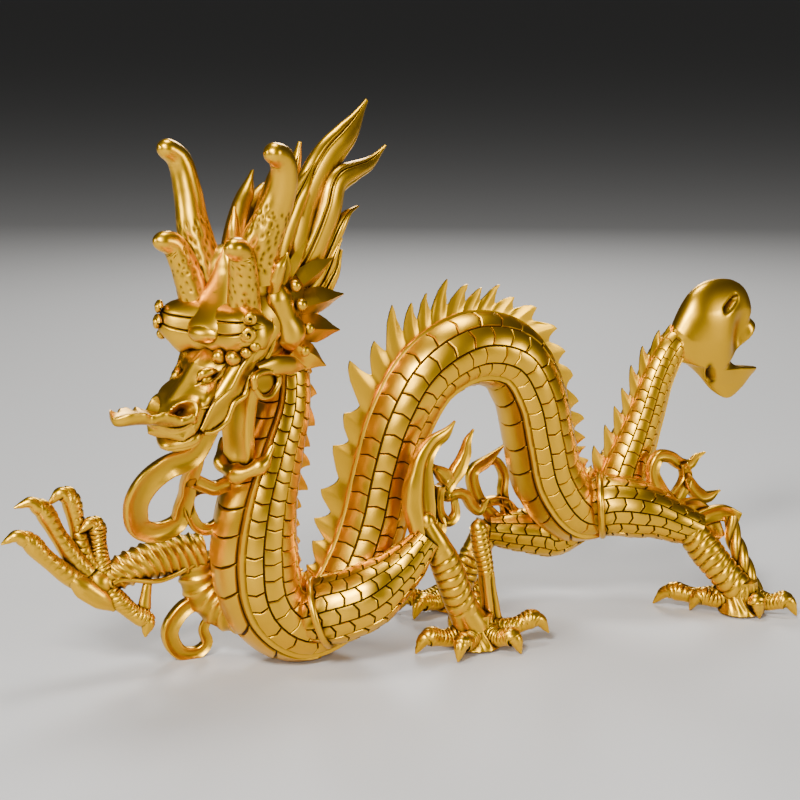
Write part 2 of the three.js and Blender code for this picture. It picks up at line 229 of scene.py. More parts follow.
def through(values, share):
    """A value that runs smoothly through a list of stations at even steps."""
    if len(values) == 1:
        return values[0]
    place = clamp(share) * (len(values) - 1)
    first = min(int(place), len(values) - 2)
    part = place - first
    part = part * part * (3 - 2 * part) * 0.5 + part * 0.5
    return values[first] * (1 - part) + values[first + 1] * part


def pillow(part, edge):
    """A cushion profile over 0 to 1 that rises and falls within edge of its two ends."""
    rise = min(max(min(part, 1 - part), 0.0) / edge, 1.0)
    return rise * (2 - rise)


def groove(part, floor, edge):
    """A flat plate over 0 to 1 between two grooves, each with a floor and a wall that ends at edge."""
    rise = clamp((max(min(part, 1 - part), 0.0) - floor) / (edge - floor))
    return rise * (2 - rise)


def scale_cushion(part, inside):
    """The flat cushion of one scale at a share along and across it, with a groove round it."""
    return groove(part, 0.02, 0.06) * groove(inside, 0.02, 0.06)


def groove_patina(cushion):
    """The patina in the groove round a cushion."""
    return max(0.0, 1 - 1.6 * cushion)


def edge_hold(inside):
    """1 within a column of scales and 0 at its edges, where it meets its neighbours."""
    return min(1.0, min(inside, 1 - inside) / 0.02)


def bell(offset, width):
    """A bump of height 1 that fades out over width."""
    return math.exp(-((offset / width) ** 2))


def wrap(angle):
    """An angle brought to the span from minus pi to pi."""
    return (angle + math.pi) % math.tau - math.pi


class Path:
    """A smooth curve through points, looked up by its share of length."""

    def __init__(self, points, samples=24):
        stations = [Vector(p[:3]) for p in points]
        first = stations[0] * 2 - stations[1]
        last = stations[-1] * 2 - stations[-2]
        knots = [first, *stations, last]
        self.points, self.params = [], []
        spans = len(stations) - 1
        for span in range(spans):
            for step in range(samples):
                self.points.append(self._span(knots[span : span + 4], step / samples))
                self.params.append((span + step / samples) / spans)
        self.points.append(stations[-1])
        self.params.append(1.0)
        self.lengths = [0.0]
        for a, b in zip(self.points, self.points[1:]):
            self.lengths.append(self.lengths[-1] + (b - a).length)
        self.length = self.lengths[-1]

    @staticmethod
    def _span(knots, t):
        """A point of the centripetal Catmull-Rom span between the two middle knots."""
        a, b, c, d = knots
        before, here, after = ((q - p).length ** 0.5 or 1e-4 for p, q in ((a, b), (b, c), (c, d)))
        leave = ((b - a) / before - (c - a) / (before + here) + (c - b) / here) * here
        arrive = ((c - b) / here - (d - b) / (here + after) + (d - c) / after) * here
        square, cube = t * t, t * t * t
        return (
            b * (2 * cube - 3 * square + 1)
            + leave * (cube - 2 * square + t)
            + c * (3 * square - 2 * cube)
            + arrive * (cube - square)
        )

    def at(self, share):
        """The point, the tangent and the station parameter at a share of the length."""
        want = clamp(share) * self.length
        i = min(max(bisect.bisect_right(self.lengths, want) - 1, 0), len(self.points) - 2)
        span = self.lengths[i + 1] - self.lengths[i]
        part = (want - self.lengths[i]) / span if span else 0.0
        low, high = max(i - 1, 0), min(i + 2, len(self.points) - 1)
        tangent = (self.points[high] - self.points[low]).normalized()
        param = self.params[i] + (self.params[i + 1] - self.params[i]) * part
        return self.points[i].lerp(self.points[i + 1], part), tangent, param

    def frame(self, share, up):
        """The point, tangent, the direction nearest to up, and the side."""
        point, tangent, _ = self.at(share)
        normal = (up - tangent * up.dot(tangent)).normalized()
        return point, tangent, normal, normal.cross(tangent)


def evenly(count):
    """Even steps from 0 to 1, both included."""
    return [i / count for i in range(count + 1)]


def cuts(count, fractions, end=1.0):
    """The same cuts repeated in each of count even steps."""
    return [end * (i + f) / count for i in range(count) for f in fractions]


def new_piece():
    """An empty piece whose vertices carry how much patina and painted shade they hold."""
    bm = bmesh.new()
    bm.verts.layers.float.new(PATINA_AND_SHADE)
    return bm


def on_oval(point, side, wide, normal, tall, turn):
    """A place on the oval round a point, at a turn from normal towards side."""
    return point + side * (wide * math.sin(turn)) + normal * (tall * math.cos(turn))


def tube(bm, shares, turns, place):
    """A closed tube: a grid rolled up by place(share, turn), its seam welded and its ends filled.

    Where place gives a pair, its second value is the patina and painted shade held there, from 0 to 1.
    """
    part = new_piece()
    patina = part.verts.layers.float[PATINA_AND_SHADE]
    rows, sides = len(shares) - 1, len(turns)
    bmesh.ops.create_grid(part, x_segments=rows, y_segments=sides, size=0.5)
    for v in part.verts:
        ring = round((v.co.x + 0.5) * rows)
        side = round((v.co.y + 0.5) * sides)
        spot = place(shares[ring], turns[side % sides])
        if isinstance(spot, tuple):
            spot, v[patina] = spot
        v.co = spot
    bmesh.ops.remove_doubles(part, verts=part.verts, dist=1e-5)
    bmesh.ops.holes_fill(part, edges=part.edges)
    add_part(bm, part)


def add_part(bm, part):
    """Turns the faces of a closed part outwards and adds it to a piece."""
    bmesh.ops.recalc_face_normals(part, faces=part.faces)
    held = bpy.data.meshes.new("part")
    part.to_mesh(held)
    part.free()
    bm.from_mesh(held)
    bpy.data.meshes.remove(held)


def sweep(bm, points, across, upright=None, up=UP, shares=24, turns=20, relief=None, tip=0.0, patina=0.0):
    """An oval bar along points. relief(share, turn) raises its skin, and tip rounds off its end.

    Where patina is given, the skin darkens as relief falls below zero.
    """
    path = points if isinstance(points, Path) else Path(points)
    upright = upright or across
    shares = evenly(shares) if isinstance(shares, int) else shares
    turns = circle(turns) if isinstance(turns, int) else turns

    def place(share, turn):
        point, _, normal, side = path.frame(share, up)
        close = 1.0
        if tip and share > 1 - tip:
            close = math.sqrt(max(0.02, 1 - ((share - 1 + tip) / tip) ** 2))
        wide = through(across, share) * close
        tall = through(upright, share) * close
        dark = 0.0
        if relief:
            raised = relief(share, turn)
            wide += raised
            tall += raised
            dark = clamp(-raised * patina)
        return on_oval(point, side, max(wide, THINNEST), normal, max(tall, THINNEST), turn), dark

    tube(bm, shares, turns, place)


def lump(bm, centre, sizes, detail, axes=Matrix.Identity(3)):
    """An oval lump with half sizes along the columns of axes."""
    part = new_piece()
    bmesh.ops.create_uvsphere(part, u_segments=detail, v_segments=detail // 2 + 1, radius=1)
    for v in part.verts:
        v.co = Vector(centre) + axes @ Vector(v.co[i] * sizes[i] for i in range(3))
    add_part(bm, part)


# Trunk and crest


class Trunk:
    """The trunk's path with its frame, its radius and its scale rows."""

    def __init__(self, props):
        self.path = Path(SPINE)
        self.props = props
        rows = [0.0]
        while rows[-1] < self.path.length or len(rows) % 3 != 1:
            rows.append(rows[-1] + through(ROW_LENGTHS, rows[-1] / self.path.length) * props.row_scale)
        self.rows = [row * self.path.length / rows[-1] for row in rows]
        # Each ring as length, row, place in its row and pitch; belly plates need no row
        self.scale_rings, self.belly_rings = [], []
        for row, (start, end) in enumerate(zip(self.rows, self.rows[1:])):
            self.scale_rings += [(start + (end - start) * cut, row, cut, end - start) for cut in ROW_CUTS]
        for row in range(0, len(self.rows) - 1, 3):
            start, pitch = self.rows[row], (self.rows[row + 3] - self.rows[row]) / 2
            for half in range(2):
                self.belly_rings += [(start + pitch * (half + cut), cut, pitch) for cut in BELLY_ROW_CUTS]
        draw = random.Random(STAGGER_SEED)
        self.stagger = [[draw.uniform(-STAGGER, STAGGER) for _ in range(LANES)] for _ in self.rows]

    def frame(self, length):
        """The point, tangent, up and side at a length, turned towards the head along the neck."""
        point, tangent, param = self.path.at(length / self.path.length)
        turn = max(0.0, 1 - param / NECK_TURN_END) * math.radians(NECK_TURN_DEG)
        across = Vector((-math.sin(turn), math.cos(turn), 0))
        up = tangent.cross(across).normalized()
        return point, tangent, up, up.cross(tangent)

    def radius(self, length):
        """The trunk's radius at a length."""
        param = self.path.at(length / self.path.length)[2] * (len(SPINE) - 1)
        first = min(int(param), len(SPINE) - 2)
        part = param - first
        return SPINE[first][3] * (1 - part) + SPINE[first + 1][3] * part

    def turns(self):
        """The angles from the back, in degrees, at which the skin is cut."""
        half = list(BACK_CUTS_DEG)
        for a, b in zip(COLUMN_EDGES_DEG, COLUMN_EDGES_DEG[1:]):
            half += [a + (b - a) * cut for cut in COLUMN_CUTS]
        half += BORDER_CUTS_DEG
        half += [BELLY_EDGE_DEG + (180 - BELLY_EDGE_DEG) * cut for cut in BELLY_CUTS]
        return half + [180] + [-angle for angle in reversed(half[1:])]

    def skin(self, ring, signed):
        """The length along, the rise and the patina of the skin at a ring and an angle from the back."""
        props, angle = self.props, abs(signed)
        length, row, part, pitch = self.scale_rings[ring]
        plate_length, plate_part, plate_pitch = self.belly_rings[ring]
        if angle < COLUMN_EDGES_DEG[0]:
            rope = bell(angle - BACK_ROPE_DEG, BACK_ROPE_WIDTH_DEG)
            return length, props.rail_height * rope - GROOVE_SINK, 0.5 - 0.5 * rope
        if angle >= BELLY_EDGE_DEG:
            inside = (180 - angle) / (180 - BELLY_EDGE_DEG)
            cushion = groove(plate_part, 0.022, 0.055) * groove(0.5 + 0.5 * inside, 0.01, 0.03)
            sag = plate_pitch * 0.3 * (1 - inside**2)
            rise = props.scale_height * cushion * (0.75 + 0.4 * plate_part) - GROOVE_SINK
            return plate_length + sag, rise, groove_patina(cushion)
        if angle >= COLUMN_EDGES_DEG[-1]:
            blend = (angle - COLUMN_EDGES_DEG[-1]) / (BELLY_EDGE_DEG - COLUMN_EDGES_DEG[-1])
            rope = bell(angle - BORDER_ROPE_DEG, BORDER_ROPE_WIDTH_DEG)
            along = length * (1 - blend) + plate_length * blend
            return along, props.rail_height * 1.3 * rope - GROOVE_SINK, max(0.0, 0.6 - 1.5 * rope)
        column = bisect.bisect_right(COLUMN_EDGES_DEG, angle) - 1
        low, high = COLUMN_EDGES_DEG[column], COLUMN_EDGES_DEG[column + 1]
        inside = (angle - low) / (high - low)
        cushion = scale_cushion(part, inside)
        dome = 0.35 * pillow(part, 0.5) * pillow(inside, 0.5) + 0.3 * part
        lane = column + (LANES // 2 if signed < 0 else 0)
        drift, next_drift = self.stagger[row][lane], self.stagger[row + 1][lane]
        phase = COLUMN_PHASES[column] + drift * (1 - part) + next_drift * part
        phase = (phase + 0.15 * pillow(inside, 0.5)) * edge_hold(inside)
        rise = props.scale_height * cushion * (0.7 + dome) - GROOVE_SINK
        return length + pitch * phase, rise, groove_patina(cushion)

    def place(self, ring, signed):
        """The place on the skin at a ring and an angle, with its patina."""
        length, raised, dark = self.skin(ring, signed)
        length = min(max(length, 0.0), self.path.length)
        point, _, up, side = self.frame(length)
        radius = self.radius(length)
        radius += raised * min(1.0, radius / FULL_SCALE_RADIUS)
        return on_oval(point, side, radius, up, radius, math.radians(signed)), dark


def crest(bm, trunk):
    """The fin along the back, thick at its root, with its edge cut into leaning teeth."""

    def on_tail(along):
        return clamp((along - TAIL_START) / TAIL_BLEND)

    def lean(along):
        return CREST_LEAN + (TAIL_LEAN - CREST_LEAN) * on_tail(along)

    stations = [CREST_START]
    for (tip, high), (next_tip, next_high) in zip(CREST_TIPS, (*CREST_TIPS[1:], CREST_END)):
        base = tip - lean(tip) * high
        start, notch = stations[-1]
        gap = next_tip - lean(next_tip) * next_high - base
        end = base + gap * 0.45
        next_notch = CREST_NOTCH * (1 - 0.6 * on_tail(tip)) * min(high, next_high)
        for q in (0.2, 0.45, 0.7, 0.88, 1.0):
            level = notch + (high - notch) * math.sin(q * math.pi / 2)
            stations.append((start + (base - start) * q, level))
        for q in (0.15, 0.35, 0.6, 0.82, 1.0):
            level = next_notch + (high - next_notch) * (1 - q) ** 1.6
            stations.append((base + (end - base) * q, level))
    levels = (1.0, 0.97, 0.88, 0.7, 0.5, 0.3, 0.12, 0.0)
    section = [(1, level) for level in levels] + [(-1, level) for level in reversed(levels)]

    def place(station, turn):
        hand, level = turn
        along, high = station
        rise = -CREST_ROOT + (high + CREST_ROOT) * level
        length = min(max(along + lean(along) * max(rise, 0.0), 0.0), trunk.path.length)
        point, _, up, side = trunk.frame(length)
        root = trunk.props.crest_thickness * 0.5 / MM
        thick = CREST_EDGE + (root - CREST_EDGE) * (1 - level) ** 1.3
        return point + up * (trunk.radius(length) + rise) + side * (hand * thick)

    tube(bm, stations, section, place)


# Head


def head_axes():
    """A matrix whose columns are the head's forward, left and up."""
    turn, pitch = math.radians(HEAD_TURN_DEG), math.radians(HEAD_PITCH_DEG)
    level = Vector((-math.cos(turn), -math.sin(turn), 0))
    forward = level * math.cos(pitch) - UP * math.sin(pitch)
    up = level * math.sin(pitch) + UP * math.cos(pitch)
    return Matrix((forward, up.cross(forward), up)).transposed()


HEAD_AXES = head_axes()
HEAD_UP = HEAD_AXES.col[2]
HEAD_LEFT = HEAD_AXES.col[1]


def in_head(place, side=1):
    """A place given as forward, left and up of the brow's centre."""
    return BROW_CENTRE + HEAD_AXES @ Vector((place[0], place[1] * side, place[2]))


def head_sweep(bm, points, side, across, **form):
    """A bar along points given in the head's axes."""
    form.setdefault("up", HEAD_UP)
    sweep(bm, [in_head(p, side) for p in points], across, **form)


def side_sweep(bm, points, side, across, **form):
    """A bar in the head's axes whose upright looks out to the side."""
    head_sweep(bm, points, side, across, up=HEAD_LEFT * side, **form)


def head_lump(bm, centre, sizes, side, detail):
    """A lump with its place and half sizes along the head's axes."""
    lump(bm, in_head(centre, side), sizes, detail, HEAD_AXES)


def on_muzzle(share, turn):
    """A place on the plain muzzle as forward, left and up, with turn 0 along its top."""
    forward, wide, top, under = (through([row[i] for row in MUZZLE], share) for i in range(4))
    left, lift = math.sin(turn), math.cos(turn)
    left = math.copysign(abs(left) ** MUZZLE_SQUARE, left) * wide
    lift = math.copysign(abs(lift) ** MUZZLE_SQUARE, lift) * (top - under) * 0.5
    return Vector((forward, left, (top + under) * 0.5 + lift))


def beside_muzzle(forward, up, off=0.0):
    """A place off the plain muzzle's near side, at a given forward and up."""
    row = max(i for i in range(len(MUZZLE) - 1) if MUZZLE[i][0] <= forward)
    part = (forward - MUZZLE[row][0]) / (MUZZLE[row + 1][0] - MUZZLE[row][0])
    wide, top, under = (MUZZLE[row][i] * (1 - part) + MUZZLE[row + 1][i] * part for i in (1, 2, 3))
    height = min(abs(2 * up - top - under) / (top - under), 1.0) ** (1 / MUZZLE_SQUARE)
    return forward, wide * (1 - height**2) ** (MUZZLE_SQUARE / 2) + off, up


def tuck(points, side, far=CHEEK_TUCK):
    """The points as they are on the near side, drawn in against the muzzle on the far side."""
    return points if side > 0 else [(forward, left * far, up) for forward, left, up in points]


def skull(bm):
    """The rounded skull that the other shapes of the head grow from."""
    head_lump(bm, (-30, 0, -12), (34, 24, 23), 1, 40)


def muzzle(bm):
    """The upper jaw with its ridge, side pads, sockets and nostrils."""

    def place(share, turn):
        spot = on_muzzle(share, turn)
        side = math.copysign(1, spot.y)
        spot.y = abs(spot.y)
        spot.z += 1.6 * bell(spot.y, 3.0) * pillow(share, 0.3)
        spot += PAD_RISE * 2.0 * bell((spot - PAD).length, 5.0)
        spot -= SOCKET_SINK * 3.0 * bell((spot - SOCKET).length, 5.0)
        away = spot - NOSTRIL
        gap = math.hypot(away.dot(NOSTRIL_AXES[0]) / 5.0, away.dot(NOSTRIL_AXES[1]) / 3.5)
        near = bell(away.dot(NOSTRIL_AXES[2]), 12.0)
        spot += NOSTRIL_AXES[2] * near * (2.2 * bell(gap - 1.4, 0.32) - 7.0 * bell(gap, 0.72))
        # The second value is painted shade inside the nostril
        return in_head(spot, side), near * bell(gap, 0.85)

    tube(bm, evenly(120), circle(140), place)
    line = [
        (8, -12), (9.5, -14.5), (13.5, -15.4), (20, -15.3), (21.3, -19.7), (26, -20), (33, -15.6),
        (36.5, -13.5),
    ]
    line = [beside_muzzle(*place, 0.4) for place in line]
    flap = [
        (-16, 27, -3), (-6.5, 24.5, -11), (8, 20.8, -16), (17, 18.5, -21), (32, 16, -22.5),
        (40, 14.2, -24.6),
    ]
    rim = [
        (-16, 27, -3), (-12.6, 26, -12), (-4, 24, -18), (6.5, 21.6, -19.2), (14, 20.6, -24.5),
        (20.3, 19, -24), (28.5, 17.6, -28.4), (36, 16, -27.5), (40, 14.2, -25),
    ]
    skin = [(-16, 20, -9), (-4, 19, -12), (6, 17, -14), (14, 15.5, -16), (22, 14, -18.5), (38, 11.5, -22)]
    for side in BOTH_SIDES:
        head_sweep(bm, tuck(skin, side), side, (8, 6.5, 4.6, 4.2, 3.8, 2.5), shares=48, turns=32)
        head_sweep(bm, line, side, (0.4, 1.3, 1.3, 1.3, 0.4), shares=60, turns=12)
        head_sweep(bm, tuck(rim, side), side, (0.5, 1.4, 1.5, 1.5, 1.2), shares=80, turns=12)
        side_sweep(
            bm, tuck(flap, side), side, (0.5, 5, 4.6, 5, 6.4, 3), upright=(0.5, 2, 2, 2, 2, 1.5),
            shares=70, turns=32, patina=0.25, relief=lambda share, turn: -1.3 * bell(wrap(turn), 0.9),
        )
        lower = Vector((0, 0, 0)) if side > 0 else Vector((0, 1.5, -3.5))
        head_lump(bm, Vector((19.5, 8, -10.8)) + lower, (4, 2.8, 2.6), side, 18)
        upper_lid = ((14.5, 11, -10.8), (17.5, 9.6, -8.4), (20.5, 8, -7.6), (23.5, 6.8, -9))
        lower_lid = ((16.5, 11.2, -13), (20, 9.6, -12), (23, 8.2, -11.2), (27, 6.4, -9.8))
        for lid, half in ((upper_lid, (0.9, 2.2, 2.4, 1.0)), (lower_lid, (0.7, 1.3, 1.6, 0.7))):
            head_sweep(bm, [Vector(p) + lower for p in lid], side, half, shares=28, turns=16, tip=0.1)
        for low, back in ((-11.8, 8.5), (-13.6, 10)):
            run = (19, 16, 13, back)
            fold = [beside_muzzle(forward, low + 0.6 * math.sin(forward), 0.2) for forward in run]
            head_sweep(bm, fold, side, (0.4, 0.9, 0.9, 0.4), shares=24, turns=10)


def bill(bm):
    """The upper lip, drawn out into a flat upturned bill with a wavy rim, and the lip below it."""
    points = ((32, 0, -22), (43, 0, -17), (52, 0, -8), (61, 0, 0.5), (71, 0, 8))
    route = Path([in_head(p) for p in points])

    def place(share, turn):
        point, _, normal, side = route.frame(share, HEAD_UP)
        close = math.sqrt(max(0.02, 1 - (max(share - 0.9, 0.0) / 0.1) ** 2))
        wide = through((12, 15.5, 12.5, 8.5, 4), share) * close
        across, lift = math.sin(turn), math.cos(turn)
        wave = math.sin(share * 23 + math.copysign(1.3, across)) + 0.5 * math.sin(share * 41 + 2)
        thick = (2.2 + 1.4 * abs(across) ** 3) * close
        high = thick * math.copysign(abs(lift) ** 0.6, lift) + 2.4 * across**2
        high += 0.9 * wave * abs(across) ** 3
        # Painted shade on the bill's underside; the top is also darker about a third of the way out
        dark = 0.5 * max(-lift, 0.0) + 0.5 * bell(share - 0.35, 0.25) * max(lift, 0.0)
        return point + side * ((wide + 0.6 * wave) * across) + normal * high, dark

    tube(bm, evenly(70), circle(64), place)
    lip = [(33, 0, -24), (44, 0, -26.5), (53, 0, -25)]
    head_sweep(
        bm, lip, 1, (12, 12.5, 8), upright=(4, 5.2, 4), shares=40, turns=72, tip=0.45,
        relief=lambda share, turn: 0.5 * math.cos(15 * turn) * bell(abs(wrap(turn)) - 2.2, 0.5),
    )


def lower_jaw(bm):
    """The hanging jaw: a smooth tongue of metal with a rolled lip, and the cupped leaf at its hinge."""

    def dished(share, turn):
        angle = wrap(turn)
        return 0.9 * bell(abs(angle) - 1.0, 0.25) - 1.8 * bell(angle, 0.5) * pillow(share, 0.3)

    jaw = [(-24, 0, -28), (-5, 0, -38), (7, 0, -51), (14, 0, -62), (21, 0, -69)]
    head_sweep(
        bm, jaw, 1, (17, 12.5, 9.5, 8.5, 8), upright=(9, 7.5, 6, 5, 3),
        shares=48, turns=64, relief=dished, tip=0.08, patina=0.3,
    )
    roll = [
        (9, -14, -63), (17, -11, -66), (23, -5, -67.5), (25, 3, -68), (23, 9, -67.5), (16, 13.5, -67.5),
        (8, 15, -64),
    ]
    head_sweep(
        bm, roll, 1, (1.5, 3.2, 4, 4.2, 4, 3, 1.5), shares=64, turns=24,
        relief=lambda share, turn: 0.9 * math.cos(share * 24) * pillow(share, 0.3),
    )
    for side in BOTH_SIDES:
        shell = [(10, 23, -20), (5, 23.5, -24), (0, 23.5, -28), (-5, 23, -31)]
        edge = [
            (10.6, 25, -22.7), (8.6, 25.5, -18.1), (3.6, 25.5, -19), (-5.5, 25, -27.9), (-4.1, 25, -32.4),
            (3.1, 25, -33.8), (9.2, 25, -29.4), (10.6, 25, -22.7),
        ]
        side_sweep(
            bm, tuck(shell, side, HINGE_TUCK), side, (2, 6, 6, 2), upright=(1, 1.4, 1.4, 1),
            shares=40, turns=40, patina=0.3,
            relief=lambda share, turn: -0.9 * bell(wrap(turn), 0.9) * pillow(share, 0.4),
        )
        head_sweep(bm, tuck(edge, side, HINGE_TUCK), side, (1.5, 1.7, 1.5, 1.3, 1.5), shares=60, turns=14)
        leaf = [(3, 23.5, -17.5), (-5, 25.5, -22.5), (-13.4, 26, -29.5), (-23, 25.5, -40)]
        side_sweep(
            bm, tuck(leaf, side, HINGE_TUCK), side, (2.5, 4.8, 4.4, 0.5), upright=(1.8, 2.2, 2, 0.5),
            shares=24, turns=20,
        )


def curl(bm, centre, side, big, small):
    """A little snail curl of round bar that faces out and forward."""
    across = (HEAD_AXES @ Vector((0.5, -0.8 * side, 0.3))).normalized()
    face = (HEAD_AXES @ Vector((0.7, 0.5 * side, 0.5))).normalized()
    upright = face.cross(across).normalized()
    points = []
    for i in range(15):
        angle = math.tau * i / 10
        reach = big * (1 - 0.8 * i / 14)
        turn = across * math.cos(angle) + upright * math.sin(angle)
        points.append(in_head(centre, side) + turn * reach + face * (0.12 * i))
    sweep(bm, points, (small * 0.8, small, small * 0.9), up=face, shares=42, turns=12, tip=0.05)


def brow(bm):
    """The brow from end to end: three bands a side, parted by grooves that run out at the middle."""
    points = ((-7, -31, 0), (-5, -20, -2), (-6.5, 0, -4.5), (-5, 20, -2), (-7, 31, 0))
    route = Path([in_head(p) for p in points])
    outward = HEAD_AXES @ Vector((0.76, 0, 0.65))
    bands = ((-1.0, -0.32), (-0.32, 0.13), (0.13, 1.0))

    def place(share, turn):
        point, _, normal, side = route.frame(share, outward)
        out = abs(share - 0.5) * 2
        close = math.sqrt(max(0.01, 1 - out**6))
        step, high = turn
        reach = 13.5 * (1 - 0.18 * out**2) * close
        if not high:
            return point - side * (reach * step) - normal * 5
        rise = 9.5 * max(1 - abs(step) ** 2.8, 0.0) ** 0.55 * close
        carved = clamp((out - 0.2) / 0.12) * clamp((1 - out) / 0.08)
        dark = 0.0
        for low, top in bands:
            if low <= step <= top:
                part = (step - low) / (top - low)
                rise += carved * (1.3 * math.sqrt(pillow(part, 0.14)) - 1.1)
                dark = 0.5 * carved * max(0.0, 1 - 12 * min(part, 1 - part))
        wave = 1.6 * math.sin(out * 15) * max(step, 0.0) ** 3
        return point - side * (reach * step + wave) + normal * rise, dark

    front = [(-1 + 2 * i / 100, 1) for i in range(101)]
    tube(bm, evenly(110), front + [(0.6, 0), (-0.6, 0)], place)


def face(bm):
    """The leaf over the nose's root, the brow's curled ends and beads, the cheeks and the ears."""
    leaf = [
        (-31.5, 0, 23), (-29, 0, 19.8), (-23.7, 0, 13.2), (-15.1, 0, 8.2), (-5.6, 0, 4.6), (1.6, 0, 1.2),
        (5, 0, -2),
    ]
    head_sweep(
        bm, leaf, 1, (1, 5.4, 8, 9.6, 10.4, 10.4, 8), upright=(0.8, 2.4, 2.8, 2.8, 3, 3.4, 3.2),
        shares=60, turns=48, tip=0.14,
    )
    head_lump(bm, (-22, 0, 1), (14, 11, 12), 1, 32)
    head_lump(bm, (1, 0, 0), (5.8, 9.6, 4.8), 1, 32)
    for place, size in (((8.6, 10, -7), 3.4), ((7.6, 17.5, -7.5), 3.7), ((5.2, 24.5, -5.5), 2.7)):
        head_lump(bm, place, (size, size, size), 1, 20)
    for side in BOTH_SIDES:
        curl(bm, (-3.5, 27, 8), side, 2.4, 1.6)
        curl(bm, (1.5, 27, 3), side, 3.0, 1.6)
        head_lump(bm, (2, 28, -4), (2.6, 2.6, 2.6), side, 20)
        cheek = [(-33, 19, 6), (-30, 20.5, -3), (-28, 21.5, -13), (-27, 21.5, -22), (-25, 20, -32)]
        side_sweep(
            bm, cheek, side, (3, 7.5, 6.5, 8.5, 3), upright=(3, 5.5, 5, 7, 3), shares=40, turns=36,
            tip=0.12,
        )
        for place in ((-39, 25, -3), (-37, 25.5, -13), (-35, 25.5, -26), (-27, 25, -33)):
            head_lump(bm, place, (3, 3, 3), side, 20)
        head_lump(bm, (-34, 10, 4), (14, 12, 15), side, 32)
        ear = [(-30, 20, 1), (-32.5, 22.5, 5), (-35.5, 25, 9.5), (-41, 27.5, 15.5)]
        side_sweep(
            bm, ear, side, (5, 6.8, 5.4, 0.5), upright=(4, 4.4, 3.4, 0.5), shares=36, turns=40,
            patina=0.3,
            relief=lambda share, turn: -3.2 * bell(wrap(turn + 0.4), 0.55) * pillow(share, 0.4),
        )


def pitted(seed, end, rows, columns):
    """A relief of small long pits over the part of a horn below end."""
    draw = random.Random(seed)
    pits = []
    for row in range(rows):
        for column in range(columns):
            at = 0.08 + (end - 0.08) * (row + draw.uniform(0.1, 0.9)) / rows
            pits.append((at, math.tau * (column + 0.5 * (row % 2) + draw.uniform(-0.3, 0.3)) / columns))

    def relief(share, turn):
        deep = 0.0
        for at, angle in pits:
            along, around = (share - at) / 0.017, wrap(turn - angle) / 0.08
            if abs(along) < 2.5 and abs(around) < 2.5:
                deep = max(deep, math.exp(-(along**2) - around**2))
        return -0.6 * deep

    return relief


def horns(bm):
    """The two antlers, the two brow horns and the spike between them."""
    main = {
        1: [
            (-31, 13, 8), (-34.3, 15, 16.2), (-38.1, 18, 24), (-47.6, 23, 33.4), (-55.2, 29, 45.7),
            (-57, 32, 57.6), (-50, 33, 67),
        ],
        -1: [(-24, 13, -8), (-27, 15, 6), (-38, 21, 28), (-48, 25, 42), (-54, 28, 56), (-49, 30, 68)],
    }
    front = [
        (-12, 13, -6), (-14, 14.5, 4), (-17.5, 16, 13), (-20.5, 18, 23), (-21, 20, 32), (-14, 22, 40),
    ]
    for i, side in enumerate(BOTH_SIDES):
        head_sweep(
            bm, main[side], side, (11, 9.6, 8.4, 7, 6, 4.4), shares=120, turns=72,
            relief=pitted(3 + i, 0.5, 11, 12), tip=0.06, patina=1.8,
        )
        head_sweep(
            bm, front, side, (8, 7.8, 7.3, 6.6, 5.6, 4), shares=90, turns=60,
            relief=pitted(7 + i, 0.75, 9, 11), tip=0.1, patina=1.8,
        )
    spike = [(-34, 0, 8), (-40.4, 0, 24.2), (-45.5, 0, 31), (-48, 0, 34.5)]
    head_sweep(bm, spike, 1, (5, 3.4, 3, 0.6), shares=24, turns=20)


